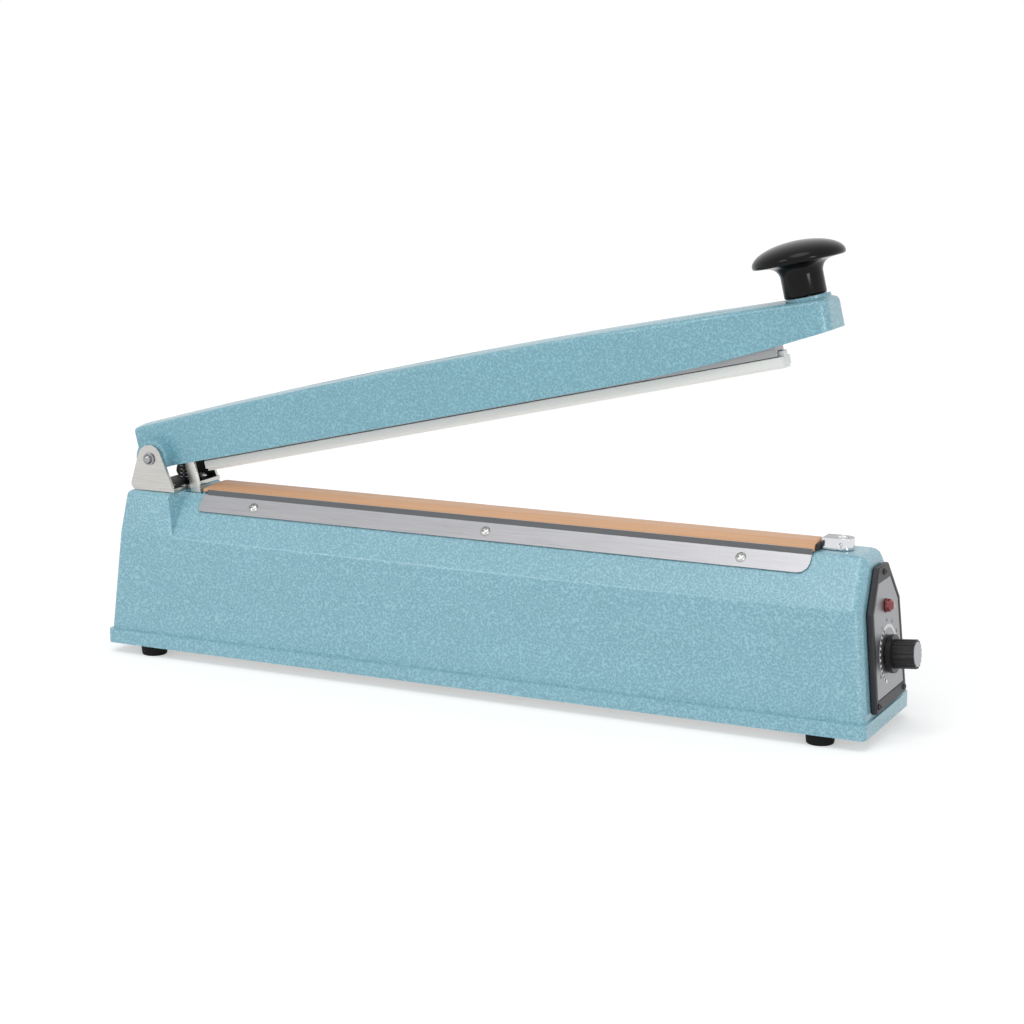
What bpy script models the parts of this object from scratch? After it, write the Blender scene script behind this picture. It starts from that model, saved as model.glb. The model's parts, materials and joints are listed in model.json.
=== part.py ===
"""Hand impulse sealer: a cast base with a heated strip, and a hinged pressing arm held open by a spring.

X runs along the strip towards the control panel, Z is up, and the base stands on Z = 0.
Lengths are metres. The arm is drawn shut, and its empty opens it to the angle at which it rests.
"""

import math

import bmesh
import bpy
from mathutils import Matrix, Vector

MM = 0.001
DEG = math.pi / 180

# Clearances and cuts
TOUCH_GAP = 0.3 * MM
CUT_OVERRUN = 1 * MM
WELD_DISTANCE = 0.001 * MM

# Base casting
BASE_LENGTH = 530 * MM
BASE_WIDTH = 88 * MM
FOOT_HEIGHT = 7 * MM
FLANGE_HEIGHT = 9.2 * MM
FLANGE_SIDE_STEP = 2.5 * MM
FLANGE_END_STEP = 1.5 * MM
FLANGE_CORNER_RADIUS = 4 * MM
BODY_WALL = 3 * MM
RIDGE_HEIGHT = 110 * MM
RIDGE_WIDTH = 28 * MM
RIDGE_RADIUS = 4 * MM
CREASE_DROP = 28 * MM
CREASE_INSET = 6.5 * MM
CREASE_RADIUS = 4 * MM
HINGE_END_RADIUS = 3.6 * MM
PANEL_END_RADIUS = 7 * MM
HINGE_END_LEAN = 8.5 * MM
PANEL_END_LEAN = 8.5 * MM
BLOCK_FRONT_LEAN = 3.5 * MM
BLOCK_TOP_INSET = 6 * MM
BLOCK_FRONT_RUN = 3 * MM
BOSS_RADIUS = 5.5 * MM
BOSS_HEIGHT = 21 * MM
BOSS_SIDE_INSET = 10 * MM
COVER_SCREW_END_INSET = 14 * MM

# Bottom cover, feet and cover screws
COVER_THICKNESS = 1.5 * MM
COVER_CORNER_RADIUS = 7 * MM
FOOT_RADIUS = 9 * MM
FOOT_FLARE = 0.7 * MM
FOOT_RECESS_RADIUS = 3.5 * MM
FOOT_RECESS_DEPTH = 4 * MM
FOOT_END_INSET = 30.5 * MM
FOOT_SIDE_INSET = 10.5 * MM
COVER_SCREW_RADIUS = 1.5 * MM
COVER_SCREW_LENGTH = 9 * MM
COVER_SCREW_HEAD_RADIUS = 3 * MM
COVER_SCREW_HEAD_HEIGHT = 1.6 * MM

# Hinge bracket, pin and bracket screws
PIN_X = 27 * MM
PIN_RISE = 21.8 * MM
PIN_RADIUS = 2.5 * MM
PIN_HEAD_RADIUS = 4.2 * MM
PIN_HEAD_THICKNESS = 1 * MM
PIN_DOME_RADIUS = 3.2 * MM
PIN_DOME_HEIGHT = 2 * MM
PIN_NUT_RADIUS = 5 * MM
PIN_NUT_THICKNESS = 3 * MM
PIN_TAIL = 1.5 * MM
BRACKET_BACK = 16.5 * MM
BRACKET_LENGTH = 35.5 * MM
BRACKET_OVERHANG = 2.5 * MM
BRACKET_WIDTH = 56 * MM
BRACKET_SHEET = 2.5 * MM
EAR_TOP_RADIUS = 9.2 * MM
EAR_HEEL_RADIUS = 4 * MM
BRACKET_SCREW_SETBACK = 9 * MM
BRACKET_SCREW_INSET = 8.5 * MM
BRACKET_SCREW_RADIUS = 2 * MM
BRACKET_SCREW_LENGTH = 9 * MM
BRACKET_SCREW_HEAD_RADIUS = 3.8 * MM
BRACKET_SCREW_HEAD_HEIGHT = 2.2 * MM

# Pressing arm, measured from the hinge pin with the arm shut
ARM_REST_ANGLE = 13.1 * DEG
ARM_REAR = 16.3 * MM
ARM_END_SETBACK = 24 * MM
ARM_WIDTH = 34 * MM
ARM_WALL = 3 * MM
ARM_SKIRT_DROP = 7.8 * MM
ARM_TOP_RISE = 27.8 * MM
ARM_TOP_RADIUS = 5400 * MM
ARM_TOP_CENTRE = 214 * MM
ARM_CROWN = 1.4 * MM
ARM_EDGE_RADIUS = 2.5 * MM
ARM_NOSE_RADIUS = 7 * MM
ARM_REAR_RADIUS = 3.6 * MM
ARM_NOSE_CLIMB = 9 * MM
ARM_NOSE_CLIMB_LENGTH = 154 * MM
ARM_BOSS_RADIUS = 12 * MM
ARM_NOSE_SOLID_LENGTH = 9 * MM

# Pressing bar, silicone strip and the posts that carry them
BAR_START = 28 * MM
BAR_END_SETBACK = 38.3 * MM
BAR_WIDTH = 13 * MM
BAR_HEIGHT = 8 * MM
BAR_GROOVE_WIDTH = 7.6 * MM
BAR_GROOVE_DEPTH = 3.3 * MM
SILICONE_WIDTH = 14 * MM
SILICONE_HEIGHT = 5.4 * MM
SILICONE_LIP_WIDTH = 9 * MM
SILICONE_LIP_HEIGHT = 1.7 * MM
SILICONE_OVERHANG = 3 * MM
POST_RADIUS = 3.5 * MM
POST_INSET = 12 * MM
POST_COUNT = 3

# Mushroom knob
KNOB_SETBACK = 14.5 * MM
KNOB_STEM_RADIUS = 12.7 * MM
KNOB_STEM_HEIGHT = 13 * MM
KNOB_CAP_RADIUS = 28.5 * MM
KNOB_RIM_HEIGHT = 23.5 * MM
KNOB_HEIGHT = 33 * MM
KNOB_UNDERCUT_HEIGHT = 19.5 * MM
KNOB_PAD_MARGIN = 0.5 * MM
STUD_RADIUS = 3 * MM
STUD_INTO_KNOB = 14 * MM
STUD_BOSS_RADIUS = 7 * MM
STUD_BOSS_DROP = 10 * MM

# Return spring and its guide
SPRING_FORWARD = 11.5 * MM
SPRING_RADIUS = 4.2 * MM
SPRING_WIRE = 1.3 * MM
SPRING_TURNS = 7
SPRING_TURN_STEPS = 10
SPRING_RISE = 28 * MM
SPRING_BOSS_RADIUS = 5.6 * MM
GUIDE_RADIUS = 2.8 * MM
GUIDE_HEIGHT = 9 * MM

# Switch blade on the arm, and the switch that it presses
BLADE_FORWARD = 21 * MM
BLADE_WIDTH = 7.2 * MM
BLADE_THICKNESS = 2 * MM
BLADE_DROP = 30.6 * MM
BLADE_TOP = 10 * MM
BLADE_TIP_RADIUS = 2 * MM
BLADE_SCREW_RADIUS = 1.2 * MM
BLADE_SCREW_HEAD_RADIUS = 2.2 * MM
BLADE_SCREW_HEAD_HEIGHT = 1.2 * MM
BLADE_SCREW_LENGTH = 3.4 * MM
BLADE_SCREW_RISE = 5 * MM
SLOT_END_GAP = 1.5 * MM
SLOT_SIDE_GAP = 1.2 * MM
SWITCH_LENGTH = 27.8 * MM
SWITCH_WIDTH = 10.3 * MM
SWITCH_HEIGHT = 15.9 * MM
SWITCH_BUTTON_RADIUS = 1.6 * MM
SWITCH_BUTTON_RISE = 2.4 * MM
SWITCH_BUTTON_DEPTH = 5 * MM
SWITCH_BUTTON_OFFSET = 3.5 * MM
SWITCH_PLATE_THICKNESS = 1.5 * MM
SWITCH_PLATE_LENGTH = 24 * MM
SWITCH_PLATE_FOOT = 11 * MM

# Heated strip
STRIP_SLOT_GAP = 0.7 * MM
STRIP_END_SETBACK = 43.4 * MM
STRIP_RISE = 5.2 * MM
STRIP_SHOULDER_RISE = 2.4 * MM
STRIP_OVERHANG = 1.6 * MM
STRIP_TOP_WIDTH = 12 * MM
STRIP_START_SLOPE = 4.5 * MM
STRIP_END_SLOPE = 3.2 * MM
CLOTH_THICKNESS = 0.6 * MM
INSULATOR_SIDE_RISE = 1.2 * MM
ELEMENT_WIDTH = 2.6 * MM
ELEMENT_THICKNESS = 0.3 * MM
ELEMENT_END_INSET = 2 * MM

# Trim plates that clamp the cloth
TRIM_START_SETBACK = 1.8 * MM
TRIM_END_SETBACK = 0.6 * MM
TRIM_SHEET = 0.9 * MM
TRIM_LIP_RISE = 2.2 * MM
TRIM_LIP_SINK = 0.85 * MM
TRIM_LIP_SETBACK = 2.5 * MM
TRIM_TOP_MARGIN = 0.1 * MM
TRIM_DEPTH = 13 * MM
TRIM_CORNER_RADIUS = 7 * MM
TRIM_START_SLANT = 1 * MM
TRIM_SCREW_START_INSET = 40.3 * MM
TRIM_SCREW_END_INSET = 43 * MM
TRIM_SCREW_COUNT = 3
TRIM_SCREW_DROP = 6.8 * MM
TRIM_SCREW_RADIUS = 1.3 * MM
TRIM_SCREW_LENGTH = 3.1 * MM
TRIM_SCREW_HEAD_RADIUS = 3.3 * MM
TRIM_SCREW_HEAD_HEIGHT = 1.4 * MM

# Element end post, plated, with its slotted screw
END_POST_GAP = 1.6 * MM
END_POST_LENGTH = 18.4 * MM
END_POST_WIDTH = 13 * MM
END_POST_HEIGHT = 7 * MM
END_POST_EYE_RADIUS = 1 * MM
END_POST_EYE_DEPTH = 2 * MM
END_POST_KEYWAY_DROP = 2.2 * MM
END_POST_SCREW_SETBACK = 7.5 * MM
END_POST_SCREW_RADIUS = 2 * MM
END_POST_SCREW_HEAD_RADIUS = 3.6 * MM
END_POST_SCREW_HEAD_HEIGHT = 1.4 * MM
END_POST_SCREW_LENGTH = 15 * MM
SCREW_SLOT_WIDTH = 0.9 * MM
SCREW_SLOT_DEPTH = 0.7 * MM

# Control panel on the end wall
TIMER_DROP = 60.8 * MM
BEZEL_THICKNESS = 4 * MM
BEZEL_RIDGE_MARGIN = 7.2 * MM
BEZEL_FLOOR_MARGIN = 2.8 * MM
BEZEL_CREASE_MARGIN = 3.2 * MM
BEZEL_TOP_INSET = 4.4 * MM
BEZEL_SHOULDER_INSET = 10 * MM
BEZEL_BOTTOM_INSET = 12.2 * MM
BEZEL_BEVEL = 0.8 * MM
BEZEL_SIDE_RIM = 3.2 * MM
BEZEL_TOP_RIM = 8.7 * MM
BEZEL_BOTTOM_RIM = 7.2 * MM
POCKET_DEPTH = 1.5 * MM
PLATE_THICKNESS = 0.9 * MM
PANEL_SCREW_TOP_INSET = 4.3 * MM
PANEL_SCREW_BOTTOM_INSET = 3.8 * MM
PANEL_SCREW_SIDE_INSET = 4.6 * MM
PANEL_SCREW_RADIUS = 1.2 * MM
PANEL_SCREW_LENGTH = 2.2 * MM
PANEL_SCREW_HEAD_RADIUS = 2 * MM
PANEL_SCREW_HEAD_HEIGHT = 1.1 * MM
LAMP_RISE = 29.2 * MM
LAMP_RADIUS = 4 * MM
LAMP_LENGTH = 14 * MM
LENS_RADIUS = 4.4 * MM
LENS_HEIGHT = 5 * MM
LENS_FACETS = 8
POT_RADIUS = 8 * MM
POT_DEPTH = 9 * MM
POT_BUSH_RADIUS = 4.4 * MM
SHAFT_RADIUS = 3 * MM
SHAFT_TAIL = 7 * MM
BOARD_THICKNESS = 1.6 * MM
BOARD_CREASE_MARGIN = 3 * MM
BOARD_FLOOR_MARGIN = 18 * MM
BOARD_SIDE_INSET = 5.5 * MM
RELAY_WIDTH = 15 * MM
RELAY_HEIGHT = 19 * MM
RELAY_DEPTH = 15.5 * MM

# Timer knob
TIMER_KNOB_GAP = 0.8 * MM
TIMER_SKIRT_RADIUS = 11.6 * MM
TIMER_SKIRT_LENGTH = 3 * MM
TIMER_KNOB_LENGTH = 16.4 * MM
TIMER_KNOB_RADIUS = 8.8 * MM
TIMER_FLUTES = 16
TIMER_FLUTE_DEPTH = 0.5 * MM
TIMER_CAP_RADIUS = 7.6 * MM
TIMER_CAP_THICKNESS = 0.8 * MM
TIMER_CAP_PROUD = 0.3 * MM
TIMER_BORE_DEPTH = 12 * MM

# Transformer on the cover
CORE_SETBACK = 125 * MM
CORE_LENGTH = 66 * MM
CORE_HEIGHT = 55 * MM
CORE_STACK = 33 * MM
CORE_LEG = 11 * MM
WINDING_WIDTH = 49 * MM

# Cord inlet on the hinge end
INLET_HEIGHT = 36 * MM
INLET_RADIUS = 5.5 * MM
INLET_BORE_RADIUS = 3.6 * MM
INLET_FLANGE_RADIUS = 8 * MM
INLET_FLANGE_THICKNESS = 2 * MM

# Faces round a circle, and steps in a quarter of one
ROUND_STEPS = 24
SMALL_ROUND_STEPS = 12
CORNER_STEPS = 4
EDGE_STEPS = 3
ARM_STATIONS = 14

# Places that follow from the sizes above
FLANGE_TOP = FOOT_HEIGHT + FLANGE_HEIGHT
BODY_HEIGHT = RIDGE_HEIGHT - FLANGE_TOP
CREASE_HEIGHT = RIDGE_HEIGHT - CREASE_DROP
CREASE_WIDTH = BASE_WIDTH - 2 * CREASE_INSET
BLOCK_TOP_WIDTH = CREASE_WIDTH - 2 * BLOCK_TOP_INSET
PANEL_LEAN = math.atan2(PANEL_END_LEAN, BODY_HEIGHT)
HINGE_LEAN = math.atan2(HINGE_END_LEAN, BODY_HEIGHT)
SLOPE_RUN = (CREASE_WIDTH - RIDGE_WIDTH) / 2
SLOPE_ANGLE = math.atan2(CREASE_DROP, SLOPE_RUN)
PIN_HEIGHT = RIDGE_HEIGHT + PIN_RISE
BRACKET_START = PIN_X - BRACKET_BACK
BRACKET_END = BRACKET_START + BRACKET_LENGTH
BRACKET_TOP = RIDGE_HEIGHT + TOUCH_GAP + BRACKET_SHEET
BLOCK_LENGTH = BRACKET_END - BRACKET_OVERHANG
COVER_TOP = FOOT_HEIGHT + COVER_THICKNESS
BOSS_TOP = COVER_TOP + BOSS_HEIGHT
ARM_REACH = BASE_LENGTH - PIN_X - ARM_END_SETBACK
ARM_BOSS_WIDTH = BRACKET_WIDTH - 2 * (BRACKET_SHEET + TOUCH_GAP)
BAR_LENGTH = ARM_REACH - BAR_START - BAR_END_SETBACK
SPRING_X = PIN_X + SPRING_FORWARD
SPRING_TOP = RIDGE_HEIGHT + SPRING_RISE
SLOT_START = PIN_X + BLADE_FORWARD - BLADE_WIDTH / 2 - SLOT_END_GAP
BLADE_TIP_FORWARD = BLADE_FORWARD + BLADE_WIDTH / 2 - BLADE_TIP_RADIUS
BLADE_TIP_REACH = math.hypot(BLADE_TIP_FORWARD, BLADE_DROP - BLADE_TIP_RADIUS) + BLADE_TIP_RADIUS
SLOT_END = PIN_X + math.sqrt(BLADE_TIP_REACH**2 - PIN_RISE**2) + SLOT_END_GAP
STRIP_START = SLOT_END + STRIP_SLOT_GAP
STRIP_END = BASE_LENGTH - STRIP_END_SETBACK
STRIP_WIDTH = RIDGE_WIDTH + 2 * STRIP_OVERHANG
STRIP_TOP = RIDGE_HEIGHT + STRIP_RISE
STRIP_SHOULDER = RIDGE_HEIGHT + STRIP_SHOULDER_RISE
TRIM_START = STRIP_START + TRIM_START_SETBACK
TRIM_END = STRIP_END - TRIM_END_SETBACK
TRIM_LIP_INNER = STRIP_WIDTH / 2 + TOUCH_GAP
TRIM_LIP_TOP = RIDGE_HEIGHT + TRIM_LIP_RISE
END_POST_START = STRIP_END + END_POST_GAP
CORE_CENTRE = BASE_LENGTH - CORE_SETBACK
TIMER_HEIGHT = RIDGE_HEIGHT - TIMER_DROP
BEZEL_TOP = TIMER_DROP - BEZEL_RIDGE_MARGIN
BEZEL_SHOULDER = CREASE_HEIGHT - BEZEL_CREASE_MARGIN - TIMER_HEIGHT
BEZEL_BOTTOM = TIMER_HEIGHT - FLANGE_TOP - BEZEL_FLOOR_MARGIN
BEZEL_TOP_WIDTH = RIDGE_WIDTH - 2 * BEZEL_TOP_INSET
BEZEL_SHOULDER_WIDTH = CREASE_WIDTH - 2 * BEZEL_SHOULDER_INSET
BEZEL_BOTTOM_WIDTH = BASE_WIDTH - 2 * (FLANGE_SIDE_STEP + BEZEL_BOTTOM_INSET)
BOARD_TOP = CREASE_HEIGHT - BOARD_CREASE_MARGIN - TIMER_HEIGHT
BOARD_BOTTOM = TIMER_HEIGHT - COVER_TOP - BOARD_FLOOR_MARGIN
PANEL_FACE = TOUCH_GAP + BEZEL_THICKNESS
TIMER_KNOB_START = PANEL_FACE + TIMER_KNOB_GAP
TIMER_KNOB_END = TIMER_KNOB_START + TIMER_KNOB_LENGTH
CAP_FACE = TIMER_KNOB_END + TIMER_CAP_PROUD
BAR_BOTTOM = STRIP_TOP + TOUCH_GAP - PIN_HEIGHT
BAR_SEAT = BAR_BOTTOM + SILICONE_LIP_HEIGHT + SILICONE_HEIGHT + TOUCH_GAP


def hinge_wall(height):
    """X of the hinge end's outer face at a height."""
    return FLANGE_END_STEP + HINGE_END_LEAN * (height - FLANGE_TOP) / BODY_HEIGHT


def panel_wall(height):
    """X of the panel end's outer face at a height."""
    return BASE_LENGTH - FLANGE_END_STEP - PANEL_END_LEAN * (height - FLANGE_TOP) / BODY_HEIGHT


def block_front(height):
    """X of the hinge block's front face at a height."""
    share = (RIDGE_HEIGHT - height) / CREASE_DROP
    return BLOCK_LENGTH + BLOCK_FRONT_LEAN * share


def side_wall(height):
    """Half width of the base's side at a height below the crease."""
    low = BASE_WIDTH / 2 - FLANGE_SIDE_STEP
    high = CREASE_WIDTH / 2
    return low + (high - low) * (height - FLANGE_TOP) / (CREASE_HEIGHT - FLANGE_TOP)


def arm_crest(forward):
    """Height of the arm's crest above the pin."""
    return ARM_TOP_RISE - (forward - ARM_TOP_CENTRE) ** 2 / (2 * ARM_TOP_RADIUS)


def arm_skirt(forward):
    """Height of the arm's lower edge above the pin, which is negative below it."""
    climb_start = ARM_REACH - ARM_NOSE_CLIMB_LENGTH
    share = max(0, forward - climb_start) / ARM_NOSE_CLIMB_LENGTH
    return ARM_NOSE_CLIMB * share**2 - ARM_SKIRT_DROP


def remove_all_objects():
    for obj in list(bpy.data.objects):
        bpy.data.objects.remove(obj)


def new_collection(name):
    collection = bpy.data.collections.new(name)
    bpy.context.scene.collection.children.link(collection)
    return collection


remove_all_objects()
PARTS = new_collection("impulse_sealer")
HELPERS = new_collection("cutters")


def new_finish(name, colour, roughness, metallic=0.0):
    finish = bpy.data.materials.new(name)
    finish.use_nodes = True
    shader = finish.node_tree.nodes["Principled BSDF"]
    shader.inputs["Base Color"].default_value = (*colour, 1)
    shader.inputs["Roughness"].default_value = roughness
    shader.inputs["Metallic"].default_value = metallic
    return finish


PAINT = new_finish("hammered_paint", (0.21, 0.43, 0.52), 0.45)
STEEL = new_finish("stainless_steel", (0.62, 0.6, 0.57), 0.3, 1)
CHROME = new_finish("chrome_plate", (0.8, 0.8, 0.82), 0.1, 1)
ZINC = new_finish("zinc_plate", (0.68, 0.68, 0.64), 0.4, 1)
ALUMINIUM = new_finish("aluminium", (0.66, 0.66, 0.67), 0.35, 1)
BLACK_PLASTIC = new_finish("black_plastic", (0.012, 0.011, 0.012), 0.3)
CHARCOAL = new_finish("charcoal_plastic", (0.045, 0.038, 0.042), 0.5)
RUBBER = new_finish("black_rubber", (0.02, 0.02, 0.02), 0.8)
SILICONE = new_finish("white_silicone", (0.8, 0.81, 0.79), 0.5)
CLOTH = new_finish("tan_cloth", (0.6, 0.34, 0.17), 0.6)
FACE_GREY = new_finish("grey_face", (0.34, 0.34, 0.36), 0.4)
LENS_RED = new_finish("red_lens", (0.2, 0.003, 0.006), 0.15)
INSULATION = new_finish("insulating_board", (0.05, 0.035, 0.03), 0.7)
NICHROME = new_finish("nichrome", (0.5, 0.48, 0.45), 0.4, 1)
CIRCUIT_BOARD = new_finish("circuit_board", (0.02, 0.14, 0.06), 0.5)
LAMINATIONS = new_finish("laminations", (0.16, 0.16, 0.17), 0.5, 1)
COPPER = new_finish("enamelled_copper", (0.5, 0.17, 0.05), 0.35, 1)


def new_empty(name, parent=None, location=(0, 0, 0), rotation=(0, 0, 0)):
    empty = bpy.data.objects.new(name, None)
    empty.parent = parent
    empty.location = location
    empty.rotation_euler = rotation
    bpy.context.scene.collection.objects.link(empty)
    return empty


def cap_overhang():
    """How far the timer knob's cap reaches past the timer axis's foot on the wall, along X."""
    return CAP_FACE * math.cos(PANEL_LEAN) + TIMER_CAP_RADIUS * math.sin(PANEL_LEAN)


BOX_CENTRE = (panel_wall(TIMER_HEIGHT) + cap_overhang()) / 2
BASE = new_empty("base_frame", None, (-BOX_CENTRE, 0, 0))
ARM = new_empty("arm_axis", BASE, (PIN_X, 0, PIN_HEIGHT), (0, -ARM_REST_ANGLE, 0))
PANEL = new_empty("timer_axis", BASE, (panel_wall(TIMER_HEIGHT), 0, TIMER_HEIGHT), (0, -PANEL_LEAN, 0))
INLET = new_empty("inlet_axis", BASE, (hinge_wall(INLET_HEIGHT), 0, INLET_HEIGHT), (0, HINGE_LEAN, 0))
SLOPES = {
    side: new_empty(name, BASE, (0, side * RIDGE_WIDTH / 2, RIDGE_HEIGHT), (-side * SLOPE_ANGLE, 0, 0))
    for side, name in ((-1, "front_slope"), (1, "rear_slope"))
}


def add_part(name, mesh, finish, parent):
    part = bpy.data.objects.new(name, mesh)
    part.parent = parent
    mesh.materials.clear()
    mesh.materials.append(finish)
    PARTS.objects.link(part)
    return part


def add_helper(name, mesh, parent):
    helper = bpy.data.objects.new(name, mesh)
    helper.parent = parent
    helper.hide_render = True
    helper.display_type = "WIRE"
    HELPERS.objects.link(helper)
    return helper


def boolean(part, helper, operation):
    modifier = part.modifiers.new(helper.name, "BOOLEAN")
    modifier.operation = operation
    modifier.solver = "EXACT"
    modifier.object = helper


def cut(part, name, mesh, parent):
    boolean(part, add_helper(name, mesh, parent), "DIFFERENCE")


def join(part, name, mesh, parent):
    boolean(part, add_helper(name, mesh, parent), "UNION")


def finish_mesh(name, shape, smooth_angle=None):
    bmesh.ops.recalc_face_normals(shape, faces=shape.faces)
    mesh = bpy.data.meshes.new(name)
    shape.to_mesh(mesh)
    shape.free()
    if smooth_angle is not None:
        mesh.shade_smooth()
        mesh.set_sharp_from_angle(angle=smooth_angle)
    return mesh


def box_mesh(name, low, high):
    shape = bmesh.new()
    bmesh.ops.create_cube(shape, size=1)
    low, high = Vector(low), Vector(high)
    bmesh.ops.scale(shape, vec=high - low, verts=shape.verts)
    bmesh.ops.translate(shape, vec=(low + high) / 2, verts=shape.verts)
    return finish_mesh(name, shape)


TURNS = {
    "X": Matrix.Rotation(math.pi / 2, 4, "Y"),
    "Y": Matrix.Rotation(-math.pi / 2, 4, "X"),
    "Z": Matrix.Identity(4),
}
SMOOTH_ANGLE = 40 * DEG


def round_mesh(name, radius, axis, low, high, centre=(0, 0), steps=SMALL_ROUND_STEPS, end_radius=None):
    """A cylinder or cone along axis, from low to high, about centre in the other two axes."""
    shape = bmesh.new()
    bmesh.ops.create_cone(
        shape,
        cap_ends=True,
        segments=steps,
        radius1=radius,
        radius2=radius if end_radius is None else end_radius,
        depth=high - low,
    )
    middle = list(centre)
    middle.insert("XYZ".index(axis), (low + high) / 2)
    bmesh.ops.transform(shape, matrix=Matrix.Translation(middle) @ TURNS[axis], verts=shape.verts)
    return finish_mesh(name, shape, SMOOTH_ANGLE)


def mesh_from(obj):
    """The evaluated mesh of a curve or of an object with modifiers, with loose caps welded on."""
    bpy.context.view_layer.update()
    mesh = bpy.data.meshes.new_from_object(obj.evaluated_get(bpy.context.evaluated_depsgraph_get()))
    shape = bmesh.new()
    shape.from_mesh(mesh)
    bmesh.ops.remove_doubles(shape, verts=shape.verts, dist=WELD_DISTANCE)
    bpy.data.meshes.remove(mesh)
    bpy.data.objects.remove(obj)
    return shape


# Which way a flat outline's own axes point, for each axis that it is extruded along
OUTLINE_TURNS = {
    "X": Matrix(((0, 0, 1, 0), (1, 0, 0, 0), (0, 1, 0, 0), (0, 0, 0, 1))),
    "Y": Matrix(((1, 0, 0, 0), (0, 0, -1, 0), (0, 1, 0, 0), (0, 0, 0, 1))),
    "Z": Matrix.Identity(4),
}


def outline_mesh(name, outline, axis, low, high):
    """A flat outline extruded along axis. Its points are YZ for X, XZ for Y and XY for Z."""
    curve = bpy.data.curves.new(name, "CURVE")
    curve.dimensions = "2D"
    curve.fill_mode = "BOTH"
    curve.extrude = (high - low) / 2
    spline = curve.splines.new("POLY")
    spline.points.add(len(outline) - 1)
    for point, (across, up) in zip(spline.points, outline):
        point.co = (across, up, 0, 1)
    spline.use_cyclic_u = True
    guide = bpy.data.objects.new(name, curve)
    bpy.context.scene.collection.objects.link(guide)
    shape = mesh_from(guide)
    middle = [0, 0, 0]
    middle["XYZ".index(axis)] = (low + high) / 2
    bmesh.ops.transform(shape, matrix=Matrix.Translation(middle) @ OUTLINE_TURNS[axis], verts=shape.verts)
    return finish_mesh(name, shape, SMOOTH_ANGLE)


def turned_part(name, profile, finish, parent, location, axis="Z", steps=ROUND_STEPS):
    """A profile of (radius, height) points, down the outer side from the top, swept by a Screw modifier."""
    mesh = bpy.data.meshes.new(name)
    points = [(radius, 0, height) for radius, height in profile]
    mesh.from_pydata(points, [(i, i + 1) for i in range(len(points) - 1)], [])
    part = add_part(name, mesh, finish, parent)
    part.location = location
    part.rotation_euler = TURNS[axis].to_euler()
    sweep = part.modifiers.new("sweep", "SCREW")
    sweep.steps = steps
    sweep.render_steps = steps
    sweep.use_merge_vertices = True
    sweep.merge_threshold = WELD_DISTANCE
    sweep.use_smooth_shade = True
    return part


def arc(centre, radius, start, end, steps):
    """Points on an arc, both ends included."""
    angles = [start + (end - start) * i / steps for i in range(steps + 1)]
    return [(centre[0] + radius * math.cos(a), centre[1] + radius * math.sin(a)) for a in angles]


def rounded(corners, radii, steps):
    """A convex outline, counter-clockwise, with each corner made an arc. A zero radius keeps the corner."""
    points = []
    count = len(corners)
    for i, corner in enumerate(corners):
        if not radii[i]:
            points.append(corner)
            continue
        here = Vector(corner)
        back = (Vector(corners[i - 1]) - here).normalized()
        ahead = (Vector(corners[(i + 1) % count]) - here).normalized()
        half = back.angle(ahead) / 2
        centre = here + (back + ahead).normalized() * radii[i] / math.sin(half)
        first = here + back * radii[i] / math.tan(half) - centre
        start = math.atan2(first.y, first.x)
        points += arc(centre, radii[i], start, start + math.pi - 2 * half, steps)
    return points


def offset(corners, insets):
    """A convex outline, counter-clockwise, with the edge after each corner moved inwards by its inset."""
    lines = []
    count = len(corners)
    for i, corner in enumerate(corners):
        along = (Vector(corners[(i + 1) % count]) - Vector(corner)).normalized()
        inwards = Vector((-along.y, along.x))
        lines.append((Vector(corner) + inwards * insets[i], along))
    moved = []
    for i, (point, along) in enumerate(lines):
        last_point, last_along = lines[i - 1]
        across = last_along.cross(along)
        reach = (point - last_point).cross(along) / across
        moved.append(tuple(last_point + last_along * reach))
    return moved


def loft_mesh(name, rings):
    """A skin over rings that have the same number of points, with both ends closed."""
    shape = bmesh.new()
    skins = [[shape.verts.new(point) for point in ring] for ring in rings]
    count = len(skins[0])
    for ring, following in zip(skins, skins[1:]):
        for i in range(count):
            shape.faces.new((ring[i - 1], ring[i], following[i], following[i - 1]))
    shape.faces.new(skins[0])
    shape.faces.new(list(reversed(skins[-1])))
    bmesh.ops.triangulate(shape, faces=shape.faces)
    return finish_mesh(name, shape, SMOOTH_ANGLE)


def house_outline(top_width, inset, floor):
    """The base's cross-section as YZ points, with every side but the bottom moved inwards by inset."""
    low = side_wall(floor)
    corners = [
        (-low, floor),
        (low, floor),
        (CREASE_WIDTH / 2, CREASE_HEIGHT),
        (top_width / 2, RIDGE_HEIGHT),
        (-top_width / 2, RIDGE_HEIGHT),
        (-CREASE_WIDTH / 2, CREASE_HEIGHT),
    ]
    moved = offset(corners, [0, inset, inset, inset, inset, inset])
    smallest = RIDGE_RADIUS / 4
    crease = max(CREASE_RADIUS - inset, smallest)
    ridge = max(RIDGE_RADIUS - inset, smallest)
    return rounded(moved, [0, 0, crease, ridge, ridge, crease], EDGE_STEPS)


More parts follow.
